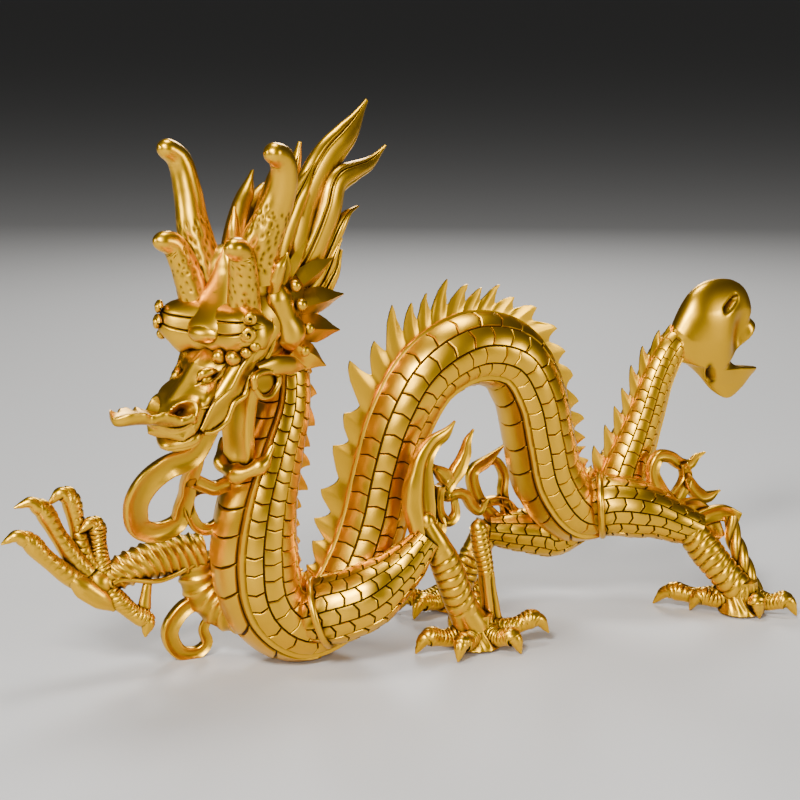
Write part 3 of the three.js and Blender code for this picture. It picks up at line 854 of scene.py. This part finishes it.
def spikes_and_mane(bm):
    """The ridged spikes round the cheek and the locks that sweep back from the skull."""
    fan = (
        ((-44, 18, -2), (-59, 24, 8), 4.5, 3),
        ((-48, 18, -9), (-68, 26, -10), 6, 5),
        ((-41, 18, -17), (-63, 28, -28), 7, 8),
        ((-35, 18, -26), (-51, 28, -40.5), 7.5, 8.5),
        ((-26, 18, -31), (-33, 28, -47.5), 7.5, 8.5),
    )
    locks = (
        (
            (
                (-34, 8, -8), (-60, 12, 3), (-80, 14, 16), (-100, 17, 24.5), (-120, 19, 26.5),
                (-137, 20, 31),
            ),
            (8, 10, 11.5, 10.5, 7.5, 1), 0.6,
        ),
        (
            (
                (-36, 8, -18), (-64, 15, -7), (-83, 20, 6), (-94, 21, 14), (-107, 22, 11), (-119, 23, 7),
                (-133, 24, 7),
            ),
            (8, 8, 8, 7.5, 6.5, 4, 0.5), 0.75,
        ),
        (
            ((-38, 6, -26), (-66, 14, -18), (-83, 21, -5), (-91, 23, -2), (-99.3, 24, -3.6)),
            (6, 5, 4.4, 3.2, 0.4), 0.85,
        ),
        (((-38, 6, -30), (-63, 14, -24), (-73, 21, -13), (-80.3, 24, -8)), (5, 4.4, 3.4, 0.4), 0.9),
        (((-38, 6, -34), (-58, 14, -29), (-69, 20, -21), (-77.3, 24, -12.7)), (5, 4.4, 3.4, 0.4), 0.9),
        (((-34, 10, -2), (-58, 14, 15), (-74, 16, 23), (-89.5, 18, 30)), (6, 7, 6, 0.5), 0.9),
        (((-50, 2, 4), (-80, 4, 22), (-90.7, 5, 28), (-98, 6, 34.6)), (7, 6.5, 4, 0.8), 0.9),
    )
    diamond = [0, math.pi / 2, math.pi, math.pi * 1.5]
    strand = circle(24)
    strand += [
        middle + step * 0.05 for middle in (0.8, math.tau - 0.6) for step in (-3, -2, -1, 0.02, 1, 2, 3)
    ]
    strand.sort()

    def grooved(share, turn):
        angle = wrap(turn)
        cut = -1.0 * bell(angle - 0.8, 0.08) - 0.8 * bell(angle + 0.6, 0.08) * pillow(share, 0.5)
        return pillow(share, 0.25) * cut

    for side in BOTH_SIDES:
        for root, point, wide, thick in fan:
            side_sweep(
                bm, [root, point], side, (wide, wide * 0.9, 0.3), upright=(thick, thick * 0.8, 0.3),
                shares=6, turns=diamond,
            )
        for path, wide, far in locks:
            reach = [Vector(path[0]).lerp(Vector(p), far if side < 0 else 1.0) for p in path]
            side_sweep(
                bm, reach, side, wide, upright=(7, 6.5, 5.5, 4.4, 1), shares=60, turns=strand,
                relief=grooved, patina=0.7,
            )


# Legs


def scaly_limb(bm, points, half, rows, columns, rim=None):
    """The upper limb: staggered rows of scales round a bar, with a bead round it at the share rim."""
    path = Path(points)

    def place(share, turn):
        part = share * rows % 1.0
        column, inside = divmod(turn / math.tau * columns + 1e-9, 1.0)
        shift = (0.5 * (column % 2) + 0.2 * pillow(inside, 0.5)) * edge_hold(inside)
        at = min(share + shift / rows, 1.0)
        cushion = scale_cushion(part, inside)
        dome = 0.7 + 0.3 * part + 0.3 * pillow(part, 0.5) * pillow(inside, 0.5)
        radius = through(half, at) + 1.1 * cushion * dome - GROOVE_SINK
        point, _, normal, side = path.frame(at, LEFT)
        return on_oval(point, side, radius, normal, radius, turn), groove_patina(cushion)

    tube(bm, [*cuts(rows, ROW_CUTS), 1.0], cuts(columns, COLUMN_CUTS, math.tau), place)
    if rim:
        middle, tangent, normal, side = path.frame(rim, LEFT)
        reach = through(half, rim) + 0.8
        turns = [math.pi + math.tau * i / 24 for i in range(25)]
        ring = [middle + (normal * math.cos(turn) + side * math.sin(turn)) * reach for turn in turns]
        sweep(bm, ring, (1.9,), up=tangent, shares=96, turns=12)


def ringed_limb(bm, points, half, rings, slant=0.25, bare=0.0, ankle=1.02, sharp=False):
    """A shin or forearm with ring folds cut a little aslant, bare at its upper end and near the ankle."""

    def relief(share, turn):
        waver = 0.12 / rings * math.sin(3 * turn + 9 * share)
        fold = (share + slant / rings * math.sin(turn) + waver) * rings % 1.0
        shown = clamp((share - bare) * 12) * clamp((ankle - share) * 8)
        return shown * (1.1 * bell(fold - 0.5, 0.2) - 0.5 if sharp else 0.9 * pillow(fold, 0.3) - 0.6)

    patina = 0.8 if sharp else 1.6
    sweep(bm, points, half, up=LEFT, shares=rings * 10, turns=48, relief=relief, patina=patina)


def toe(bm, points, size=0.86, wrinkles=10):
    """A wrinkled toe that ends in a smooth hooked nail."""
    halves = [size * half for half in (7, 6, 5.2, 5.1, 4.3)]
    stations = [Vector(p) for p in points]
    knuckle, point = stations[-2], stations[-1]
    skin_end = knuckle.lerp(point, 0.3)
    nail = [
        stations[-3].lerp(knuckle, 0.75), skin_end + UP * 1.5, knuckle.lerp(point, 0.75) + UP * 0.8,
        point,
    ]
    seed = stations[0].x + stations[-1].y

    def relief(share, turn):
        wave = share * wrinkles + 0.5 * math.sin(turn + seed)
        wave += 0.4 * math.sin(2 * turn + seed * 2 + share * 5)
        crease = (1 - pillow(wave % 1.0, 0.25)) * min(1.0, 0.6 + 0.7 * math.cos(turn))
        knot = 0.8 * bell(share - 0.78, 0.12)
        return knot - 0.9 * max(crease, 0.0) * pillow(0.1 + share * 0.9, 0.2)

    skin = [*stations[:-1], skin_end]
    sweep(bm, skin, halves, shares=70, turns=28, relief=relief, tip=0.16, patina=1.2)
    sweep(bm, nail, [size * half for half in (4.4, 4.6, 3.6, 2.2, 0.6)], shares=24, turns=18)


def standing_foot(bm, ankle, claw_points):
    """A foot flat on the floor, its toes running out from the ankle."""
    x, y = ankle

    def ball(share, turn):
        wrinkle = 0.5 * math.sin(14 * turn + 3 * math.sin(5 * share)) * pillow(share, 0.3)
        wide = 8 + 4.5 * share**1.6
        high = 18 * (1 - share) + 1.5 * share
        wide += wrinkle
        return Vector((x + wide * math.cos(turn), y + wide * math.sin(turn), high))

    tube(bm, evenly(16), circle(80), ball)
    for tip_x, tip_y, tip_z in claw_points:
        rise = ((0.22, 9), (0.5, 7 + tip_z * 0.6), (0.8, 8.6 + tip_z), (1, tip_z + 0.6))
        toe(bm, [(x + (tip_x - x) * share, y + (tip_y - y) * share, height) for share, height in rise])


def sinew(bm, points, half, strands, twist, ringed=0.0):
    """A stranded sinew that stands off behind a shin, with rings down to the share ringed."""

    def relief(share, turn):
        rope = 1.6 * abs(math.cos(strands * 0.5 * turn + twist * share)) ** 0.7 - 1.2
        ring = 0.8 * pillow((share * 20 + 0.3 * math.sin(turn)) % 1.0, 0.3) - 0.6
        upper = clamp((ringed - share) * 10)
        return rope + (ring - rope) * upper

    sweep(bm, points, half, up=LEFT, shares=120, turns=48, patina=1.2, relief=relief, tip=0.03)


def front_left_leg(bm):
    """The near front leg, whose shin is bare at its upper end."""
    thigh = ((-44, -4, 22), (-34, -13, 26), (-16, -23, 33), (3, -28, 46), (17, -32, 62))
    scaly_limb(bm, thigh, (10, 17, 16, 11, 6.5), rows=10, columns=14, rim=0.19)
    shin = (
        (18, -30, 69), (22, -31, 60), (27.5, -31, 48.6), (33, -31, 35), (38.5, -31, 22), (44.5, -31, 11),
    )
    ringed_limb(bm, shin, (4, 6.4, 7.6, 7.7, 7.9, 9.4), rings=13, slant=0.3, bare=0.22, ankle=0.85)
    lump(bm, (18, -30, 68.6), (4.2, 4.2, 6), 24)
    lump(bm, (47.4, -31, 62), (4.3, 4.3, 4.8), 24)
    rope = (
        (47.4, -31, 63), (48.6, -31, 55), (51.4, -31, 43), (52.9, -31, 32.7), (55.4, -31, 19),
        (57, -31, 8),
    )
    sinew(bm, rope, (4.4, 4.6, 4, 3.8, 4.2, 5.4), strands=4, twist=2.0, ringed=0.5)
    claws = ((14, -26, 0), (26, -47, 0), (60, -52, 0), (82, -44, 5), (47, -6, 0))
    standing_foot(bm, (47, -31), claws)


def hind_left_leg(bm):
    """The near hind leg."""
    thigh = ((126, 0, 55), (142, -11, 57), (158, -22, 54), (172, -30, 48), (183, -35, 43))
    scaly_limb(bm, thigh, (9, 16, 15, 11, 8.5), rows=8, columns=14, rim=0.22)
    shin = ((178, -34, 45), (187, -43, 29), (195, -52, 16), (199, -55, 10))
    ringed_limb(bm, shin, (8, 8.8, 8.2, 8), rings=10, slant=0.2)
    rope = ((203, -38, 49), (203, -41, 38), (204, -48, 26), (207, -55, 9))
    sinew(bm, rope, (3.4, 4.6, 4.6, 5.2), strands=3, twist=12.0)
    claws = ((167, -19, 0), (177, -38, 0), (200, -68, 0), (220, -74, 0), (216, -38, 0))
    standing_foot(bm, (199, -54), claws)


def hind_right_leg(bm):
    """The far hind leg, which steps forward."""
    thigh = ((134, 2, 46), (122, 14, 40), (104, 20, 41), (88, 25, 43))
    scaly_limb(bm, thigh, (10, 14, 11, 8), rows=7, columns=12)
    shin = ((90, 25, 45), (82, 27, 30), (74, 28, 16), (70, 28, 10))
    ringed_limb(bm, shin, (8, 7.4, 7.2, 8), rings=10, bare=0.4)
    claws = ((39, 37, 0), (41, 22, 0), (82, 49, 0), (90, 34, 0), (74, 6, 0))
    standing_foot(bm, (70, 28), claws)


def front_right_leg(bm):
    """The raised leg with its open five-clawed paw."""
    upper = ((-54, 6, 24), (-70, 19, 26), (-79, 24, 36), (-82, 26, 52))
    ringed_limb(bm, upper, (11, 11, 10, 9.5), rings=9, sharp=True)
    forearm = ((-79, 25, 54), (-97, 27, 54), (-113, 27, 52), (-132, 27, 46))
    ringed_limb(bm, forearm, (10, 10, 8.5, 7), rings=12, slant=0.9, sharp=True)
    rail = (
        (-127.8, 20, 47), (-123.6, 20, 48), (-104.6, 19.5, 44.7), (-95.3, 19, 46.7), (-87.2, 18, 50.4),
        (-76, 16, 54),
    )
    sweep(bm, rail, (1.3,), up=LEFT, shares=60, turns=12)
    strut = ((-109, 21, 46), (-110.5, 20, 40.9), (-112.5, 19, 32))
    sweep(bm, strut, (2.2, 2.8, 3.6), (1.6, 1.8, 2.2), up=LEFT, shares=20, turns=20)
    lump(bm, (-133, 26, 46), (8, 7, 8), 20)
    palm = ((-126.5, 21, 34.5), (-133, 20.5, 39), (-140.5, 21, 45), (-149, 22, 53))
    sweep(bm, palm, (2.5, 5, 5.4, 2.5), (2, 3.6, 3.6, 2), up=LEFT, shares=36, turns=32, tip=0.2)
    toes = (
        ((-138, 26, 47), (-147, 25, 52), (-160, 24, 64), (-170, 24, 75), (-181, 24, 73)),
        ((-138, 27, 52), (-144, 28, 60), (-151, 29, 72), (-160, 30, 88), (-172, 30, 88)),
        ((-135, 28, 53), (-138, 31, 62), (-140, 33, 75), (-144, 34, 91), (-154, 34, 86)),
        ((-130, 27, 51), (-131, 28, 58), (-131, 29, 65), (-132, 30, 75), (-141, 28, 72)),
        ((-129, 25, 42), (-124, 21, 37), (-118, 19, 31), (-111, 17, 26), (-114, 15, 19)),
    )
    for points in toes:
        toe(bm, points, size=0.82, wrinkles=13)


# Flames, whisker and tail leaf


def ribbon(bm, points, wide, thick=(3.2, 3.2, 2.8, 0.8), shares=60, solid=0.0):
    """A flat tongue, hollow on both faces between raised edges, with a share of its width left solid."""
    path = Path(points)

    def place(share, turn):
        point, _, normal, side = path.frame(share, LEFT)
        across, out = math.sin(turn), math.cos(turn)
        part = max((0.5 - 0.5 * across - solid) / (1 - solid), 0.0)
        hollow = 0.75 * groove(part, 0.1, 0.46) * pillow(share, 0.15 + 0.35 * solid)
        high = through(thick, share) * math.copysign(abs(out) ** 0.45, out) * (1 - hollow)
        return point + side * (through(wide, share) * across) + normal * high, (0.4 + solid) * hollow

    tube(bm, evenly(shares), circle(40), place)


def flames(bm):
    """The flames at the legs. The last one curls on the floor under the raised leg."""
    leaf = (
        (17, -29, 57), (16, -28, 68.6), (15, -27, 79.6), (15.5, -27, 90.8), (18, -27, 101.4),
        (23.5, -27, 108.3), (30.3, -27, 112), (35.7, -27, 117.7),
    )
    ribbon(bm, leaf, (4.5, 7, 8.6, 8, 6, 4.4, 3.2, 0.5), (3.6, 4.6, 4.6, 3.6, 2.6, 0.8), solid=0.42)
    tongues = (
        (((22.2, -29, 96.6), (27.1, -29, 92.5), (33, -28, 86.5)), (1.5, 4, 3)),
        (
            (
                (29, -27, 81), (32.9, -26.5, 86.6), (38.5, -26, 92.9), (42.2, -26, 100.2),
                (43.8, -26, 106.9), (47.2, -26, 112.1),
            ),
            (2.8, 3.4, 4.2, 3.2, 2, 0.4),
        ),
        (
            (
                (27.8, -26, 86), (31, -26, 80), (37.6, -26, 80.7), (43.3, -25, 78.3), (48.1, -24, 71.9),
                (52.8, -23, 68.7), (58.5, -22, 73.5),
            ),
            (2.6, 2.8, 2.8, 2.8, 2.8, 2.4, 0.5),
        ),
        (
            (
                (26.5, -28, 86), (25.7, -28, 78), (26.7, -28, 72), (31.4, -28, 67), (35.4, -28, 70),
                (35.5, -27, 79),
            ),
            (2, 2.2, 2.4, 2.2, 2),
        ),
        (((20, -30, 58), (25, -29, 64), (27, -28, 72)), (5, 4, 2.4)),
        (
            (
                (176, -24, 52), (168, -21, 63), (163.5, -20, 75), (167, -20, 82), (174, -20, 81.5),
                (182, -20, 76.5), (188.6, -20, 75.5), (193, -20, 79), (198.5, -20, 81),
            ),
            (5, 5, 4.5, 3.6, 3.4, 3.4, 3.4, 2.6, 0.5),
        ),
        (((183, -20.5, 77), (185, -21, 69), (181, -22, 62), (173, -23, 56)), (2.4, 3.6, 4.6, 5)),
        (
            ((184, -22, 70), (190, -22, 61.4), (195.9, -22, 57), (200, -22, 56.5), (208, -22, 59)),
            (2.5, 3.6, 4, 3, 0.5),
        ),
        (((174.9, -28, 56), (185.8, -28, 53), (194.3, -31, 45), (198.7, -36, 37)), (3, 6, 6, 3)),
        (((181, -31, 45), (192, -31, 49), (201, -34, 50), (209, -38, 46)), (5, 4.5, 4.5, 4)),
        (((96, 23, 44), (80, 22, 62), (77, 22, 76), (86, 22, 81), (97, 23, 88)), (4, 3.6, 3.4, 3.4, 0.5)),
        (((100, 21, 46), (96, 22, 62), (97, 23, 72), (92, 23, 80), (86, 22, 80)), (3, 2.8, 2.6, 2.6, 2)),
        (((82, 22, 58), (90, 21, 59), (97, 21, 57), (104, 20, 50)), (2.6, 2.6, 2.6)),
        (
            (
                (-78, 25, 30), (-89, 26, 26), (-96, 27, 15), (-91, 27, 4), (-82, 26, 2.5), (-77, 25, 7),
                (-79, 24, 15), (-74, 22, 24),
            ),
            (4, 4.2, 4.4, 4.2, 3.6, 3, 2.6, 2),
        ),
    )
    for points, wide in tongues:
        ribbon(bm, points, wide)


def whisker(bm):
    """The whisker that loops from the lip to the chest, with its second strand."""
    loop = (
        (-89, -26, 145), (-95.9, -22, 125), (-103, -20, 114.7), (-113.9, -18, 111), (-122, -14, 104),
        (-125.5, -8, 94.2), (-124, -2, 85), (-119.6, 4, 77.4), (-112, 7, 73.3), (-105.5, 8, 73.1),
        (-98.4, 8, 76.2), (-97, 5, 84), (-96.6, 1, 91), (-98.5, -6, 99.5), (-99, -14, 108),
        (-99.5, -19, 116),
    )
    ribbon(bm, loop, (4, 4.5, 5.6, 6, 6, 5, 4.4, 4, 3.6), (2.6, 3.2, 3.2, 2.8), 150)
    strand = (
        (-98, -8, 101), (-94.7, -5, 99), (-89.2, -4, 95.8), (-84.3, -4, 93.8), (-79, -4, 95),
        (-66, -3, 97),
    )
    ribbon(bm, strand, (3.6, 3.4, 4), (2.6, 3), 50)
    ring = (
        (-82, -2, 94), (-90, 4, 92.5), (-93.2, 6, 88.9), (-93.8, 6, 84), (-92.1, 6, 78.5), (-88.7, 6, 73),
        (-83.7, 6, 71.2), (-78, 5, 74), (-68, 3, 82),
    )
    ribbon(bm, ring, (3, 3, 3), (2.4, 2.6), 70)


def tail_leaf(bm):
    """The swollen leaf that curls over at the end of the tail, with its lobed edge, slits and hollow."""
    edge = Path([(x, 0, z) for x, z in LEAF_OUTLINE])
    middle = Vector((LEAF_MIDDLE[0], 0, LEAF_MIDDLE[1]))
    part = new_piece()
    patina = part.verts.layers.float[PATINA_AND_SHADE]
    bmesh.ops.create_uvsphere(part, u_segments=300, v_segments=90, radius=1)
    heights = [height for height, _ in LEAF_THICKNESS]
    (x, z), (wide, tall), sink = LEAF_HOLLOW
    for v in part.verts:
        share = math.atan2(v.co.y, v.co.x) / math.tau % 1.0
        reach = math.hypot(v.co.x, v.co.y)
        hand = math.copysign(1, v.co.z)
        spot = middle.lerp(edge.at(share)[0], reach)
        band = min(max(bisect.bisect_right(heights, spot.z) - 1, 0), len(heights) - 2)
        (low, thin), (high, thick) = LEAF_THICKNESS[band : band + 2]
        swell = thin + (thick - thin) * clamp((spot.z - low) / (high - low))
        swell *= abs(v.co.z)
        hollow = bell(math.hypot((spot.x - x) / wide, (spot.z - z) / tall), 1.0) * abs(v.co.z)
        swell -= sink * hollow
        # Painted shade in the hollow
        v[patina] = 0.5 * hollow
        for (start, end), half, deep in LEAF_SLITS:
            run = Vector(end) - Vector(start)
            along = Vector((spot.x, spot.z)) - Vector(start)
            at = clamp(along.dot(run) / run.length_squared)
            gap = (along - run * at).length / half
            swell -= deep * bell(gap, 1.0) * (1 - (2 * at - 1) ** 2)
            # Painted shade in the slits
            v[patina] = max(v[patina], bell(gap, 1.0))
        spot.y = -hand * swell - LEAF_SHIFT
        v.co = spot
    add_part(bm, part)


# Material and finishing


def brass(props):
    """Polished brass, turned brown where the mesh's own attribute of patina and painted shade is deep:
    patina in the grooves, painted shade in creases, hollows, slits and undersides.
    """
    name = "polished brass"
    found = bpy.data.materials.get(name)
    if found:
        return found
    material = bpy.data.materials.new(name)
    material.use_nodes = True
    nodes, links = material.node_tree.nodes, material.node_tree.links
    shader = nodes["Principled BSDF"]
    shader.inputs["Metallic"].default_value = 1.0
    depth = nodes.new("ShaderNodeAttribute")
    depth.attribute_name = PATINA_AND_SHADE
    tint = nodes.new("ShaderNodeMix")
    tint.data_type = "RGBA"
    tint.inputs["A"].default_value = (*props.brass_color, 1)
    tint.inputs["B"].default_value = (*props.patina_color, 1)
    links.new(depth.outputs["Fac"], tint.inputs["Factor"])
    links.new(tint.outputs["Result"], shader.inputs["Base Color"])
    polish = nodes.new("ShaderNodeMapRange")
    polish.inputs["To Min"].default_value = props.roughness
    polish.inputs["To Max"].default_value = props.patina_roughness
    links.new(depth.outputs["Fac"], polish.inputs["Value"])
    links.new(polish.outputs["Result"], shader.inputs["Roughness"])
    return material


def mark_patina(bm, strength):
    """Paints shade wherever the skin's view outwards is blocked close by, as in a crease: ambient
    occlusion painted into the same attribute as the patina.
    """
    patina = bm.verts.layers.float[PATINA_AND_SHADE]
    bm.normal_update()
    tree = BVHTree.FromBMesh(bm)
    lean, rise = 0.87, 0.5
    rays = [(lean * math.cos(turn), lean * math.sin(turn)) for turn in circle(CREASE_RAYS)]
    for v in bm.verts:
        out = v.normal
        across = out.orthogonal().normalized()
        upright = out.cross(across)
        start = v.co + out * 0.1
        blocked = 0.0
        for a, b in rays:
            near = tree.ray_cast(start, out * rise + across * a + upright * b, CREASE_REACH)[3]
            if near is not None:
                blocked += 1 - near / CREASE_REACH
        v[patina] = min(max(v[patina], (strength * blocked / CREASE_RAYS) ** 2), 1.0)


def add_piece(context, bm, name, creases=True):
    """Moves a piece to the row frame, finishes it and puts it in place of the casting."""
    finish = context.scene.dragon_finish
    for v in bm.verts:
        v.co.z = max(v.co.z, 0.0)
    # Painted shade in the creases, from rays that find nearby surfaces
    if creases:
        mark_patina(bm, finish.patina_strength)
    bmesh.ops.translate(bm, verts=bm.verts, vec=-ORIGIN)
    bmesh.ops.scale(bm, verts=bm.verts, vec=(MM, MM, MM))
    mesh = bpy.data.meshes.new(name)
    bm.to_mesh(mesh)
    bm.free()
    mesh.shade_smooth()
    mesh.set_sharp_from_angle(angle=math.radians(SMOOTH_DEG))
    mesh.materials.append(brass(finish))
    piece = bpy.data.objects.new(name, mesh)
    context.scene.collection.objects.link(piece)
    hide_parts("dragon")
    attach(piece, "root")


def build_piece(context, name, *makers):
    """Makes a piece from the shapes of its makers, in their order."""
    bm = new_piece()
    for make in makers:
        make(bm)
    add_piece(context, bm, name)


# Properties, operators and panel


class DragonForm(bpy.types.PropertyGroup):
    """Sizes of the carving that a user may change."""

    row_scale: bpy.props.FloatProperty(
        name="Row spacing", description="Spacing of the scale rows, as a share of the usual", default=1.0,
        min=0.5, max=2.0,
    )
    scale_height: bpy.props.FloatProperty(
        name="Scale height", description="Rise of a scale above its groove, in millimetres", default=1.2,
        min=0.2, max=3.0,
    )
    rail_height: bpy.props.FloatProperty(
        name="Rail height", description="Rise of the ropes along the back and belly, in millimetres",
        default=1.4, min=0.0, max=3.0,
    )
    crest_thickness: bpy.props.FloatProperty(
        name="Crest thickness", description="Thickness of the crest at its root", default=0.005,
        unit="LENGTH",
    )


class DragonFinish(bpy.types.PropertyGroup):
    """Colours and polish of the brass."""

    brass_color: bpy.props.FloatVectorProperty(
        name="Brass", description="Colour of the polished brass", subtype="COLOR", size=3,
        default=(0.84, 0.455, 0.012),
    )
    # One brown serves for the patina in the grooves and for the painted shade in creases, hollows and
    # undersides
    patina_color: bpy.props.FloatVectorProperty(
        name="Patina and shade", description="Colour of the patina in the grooves", subtype="COLOR", size=3,
        default=(0.055, 0.024, 0.004),
    )
    roughness: bpy.props.FloatProperty(
        name="Polish", description="Roughness of the polished brass", subtype="FACTOR", default=0.32,
        min=0.0, max=1.0,
    )
    patina_roughness: bpy.props.FloatProperty(
        name="Patina roughness", description="Roughness in the grooves", subtype="FACTOR", default=0.55,
        min=0.0, max=1.0,
    )
    # How strongly the creases are darkened with painted shade
    patina_strength: bpy.props.FloatProperty(
        name="Crease shade strength", description="How soon a crease darkens", default=2.6, min=0.0, max=10.0
    )


class DRAGON_OT_trunk(bpy.types.Operator):
    """Model the scaly trunk and the crest along its back"""

    bl_idname = "dragon.trunk"
    bl_label = "Trunk and crest"

    def execute(self, context):
        bm = new_piece()
        trunk = Trunk(context.scene.dragon_form)
        tube(bm, range(len(trunk.scale_rings)), trunk.turns(), trunk.place)
        crest(bm, trunk)
        add_piece(context, bm, "dragon_trunk", creases=False)
        return {"FINISHED"}


class DRAGON_OT_head(bpy.types.Operator):
    """Model the head with its jaws, brow, cheeks and ears"""

    bl_idname = "dragon.head"
    bl_label = "Head"

    def execute(self, context):
        build_piece(context, "dragon_head", skull, muzzle, bill, lower_jaw, brow, face)
        return {"FINISHED"}


class DRAGON_OT_mane(bpy.types.Operator):
    """Model the horns, the spikes round the cheeks and the locks of the mane"""

    bl_idname = "dragon.mane"
    bl_label = "Horns and mane"

    def execute(self, context):
        build_piece(context, "dragon_mane", horns, spikes_and_mane)
        return {"FINISHED"}


class DRAGON_OT_legs(bpy.types.Operator):
    """Model the four legs with their feet and claws"""

    bl_idname = "dragon.legs"
    bl_label = "Legs"

    def execute(self, context):
        build_piece(context, "dragon_front_legs", front_left_leg, front_right_leg)
        build_piece(context, "dragon_hind_legs", hind_left_leg, hind_right_leg)
        return {"FINISHED"}


class DRAGON_OT_flames(bpy.types.Operator):
    """Model the flames, the whisker and the leaf of the tail"""

    bl_idname = "dragon.flames"
    bl_label = "Flames and tail leaf"

    def execute(self, context):
        build_piece(context, "dragon_flames", flames, whisker, tail_leaf)
        return {"FINISHED"}


class DRAGON_OT_stage(bpy.types.Operator):
    """Set a pale floor, soft studio lights and the camera"""

    bl_idname = "dragon.stage"
    bl_label = "Stage"

    def execute(self, context):
        scene = context.scene
        floor = bmesh.new()
        bmesh.ops.create_circle(floor, cap_ends=True, segments=96, radius=FLOOR_RADIUS)
        mesh = bpy.data.meshes.new("floor")
        floor.to_mesh(mesh)
        floor.free()
        pale = bpy.data.materials.new("pale floor")
        pale.use_nodes = True
        shader = pale.node_tree.nodes["Principled BSDF"]
        shader.inputs["Base Color"].default_value = FLOOR_COLOR
        shader.inputs["Roughness"].default_value = FLOOR_ROUGHNESS
        mesh.materials.append(pale)
        ground = bpy.data.objects.new("floor", mesh)
        scene.collection.objects.link(ground)

        world = bpy.data.worlds.new("studio")
        world.use_nodes = True
        background = world.node_tree.nodes["Background"]
        background.inputs["Color"].default_value = WORLD_COLOR
        background.inputs["Strength"].default_value = WORLD_STRENGTH
        scene.world = world

        for name, place, size, power in LAMPS:
            lamp = bpy.data.lights.new(name, "AREA")
            lamp.size, lamp.energy = size, power
            holder = bpy.data.objects.new(name, lamp)
            holder.location = place
            holder.rotation_euler = (LAMP_AIM - Vector(place)).to_track_quat("-Z", "Y").to_euler()
            scene.collection.objects.link(holder)

        target = (CAMERA_TARGET - ORIGIN) * MM
        turn, rise = math.radians(CAMERA_TURN_DEG), math.radians(CAMERA_RISE_DEG)
        look = Vector((math.sin(turn) * math.cos(rise), math.cos(turn) * math.cos(rise), -math.sin(rise)))
        lens = bpy.data.cameras.new("camera")
        lens.lens = CAMERA_LENS
        camera = bpy.data.objects.new("camera", lens)
        camera.location = target - look
        camera.rotation_euler = look.to_track_quat("-Z", "Y").to_euler()
        scene.collection.objects.link(camera)
        scene.camera = camera
        return {"FINISHED"}


class DRAGON_PT_panel(bpy.types.Panel):
    """Lists the dragon's pieces and sizes"""

    bl_idname = "DRAGON_PT_panel"
    bl_label = "Brass Dragon"
    bl_space_type = "VIEW_3D"
    bl_region_type = "UI"
    bl_category = "Dragon"

    def draw(self, context):
        for group in (context.scene.dragon_form, context.scene.dragon_finish):
            for name in group.__annotations__:
                self.layout.prop(group, name)
        for operator in OPERATORS:
            self.layout.operator(operator.bl_idname)


OPERATORS = (
    DRAGON_OT_trunk, DRAGON_OT_head, DRAGON_OT_mane, DRAGON_OT_legs, DRAGON_OT_flames, DRAGON_OT_stage,
)
CLASSES = (DragonForm, DragonFinish, *OPERATORS, DRAGON_PT_panel)


def register():
    for cls in CLASSES:
        bpy.utils.register_class(cls)
    bpy.types.Scene.dragon_form = bpy.props.PointerProperty(type=DragonForm)
    bpy.types.Scene.dragon_finish = bpy.props.PointerProperty(type=DragonFinish)


def unregister():
    del bpy.types.Scene.dragon_finish
    del bpy.types.Scene.dragon_form
    for cls in reversed(CLASSES):
        bpy.utils.unregister_class(cls)


def main():
    register()
    bpy.ops.dragon.trunk()
    bpy.ops.dragon.head()
    bpy.ops.dragon.mane()
    bpy.ops.dragon.legs()
    bpy.ops.dragon.flames()
    bpy.ops.dragon.stage()
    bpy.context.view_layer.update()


if __name__ == "__main__":
    main()
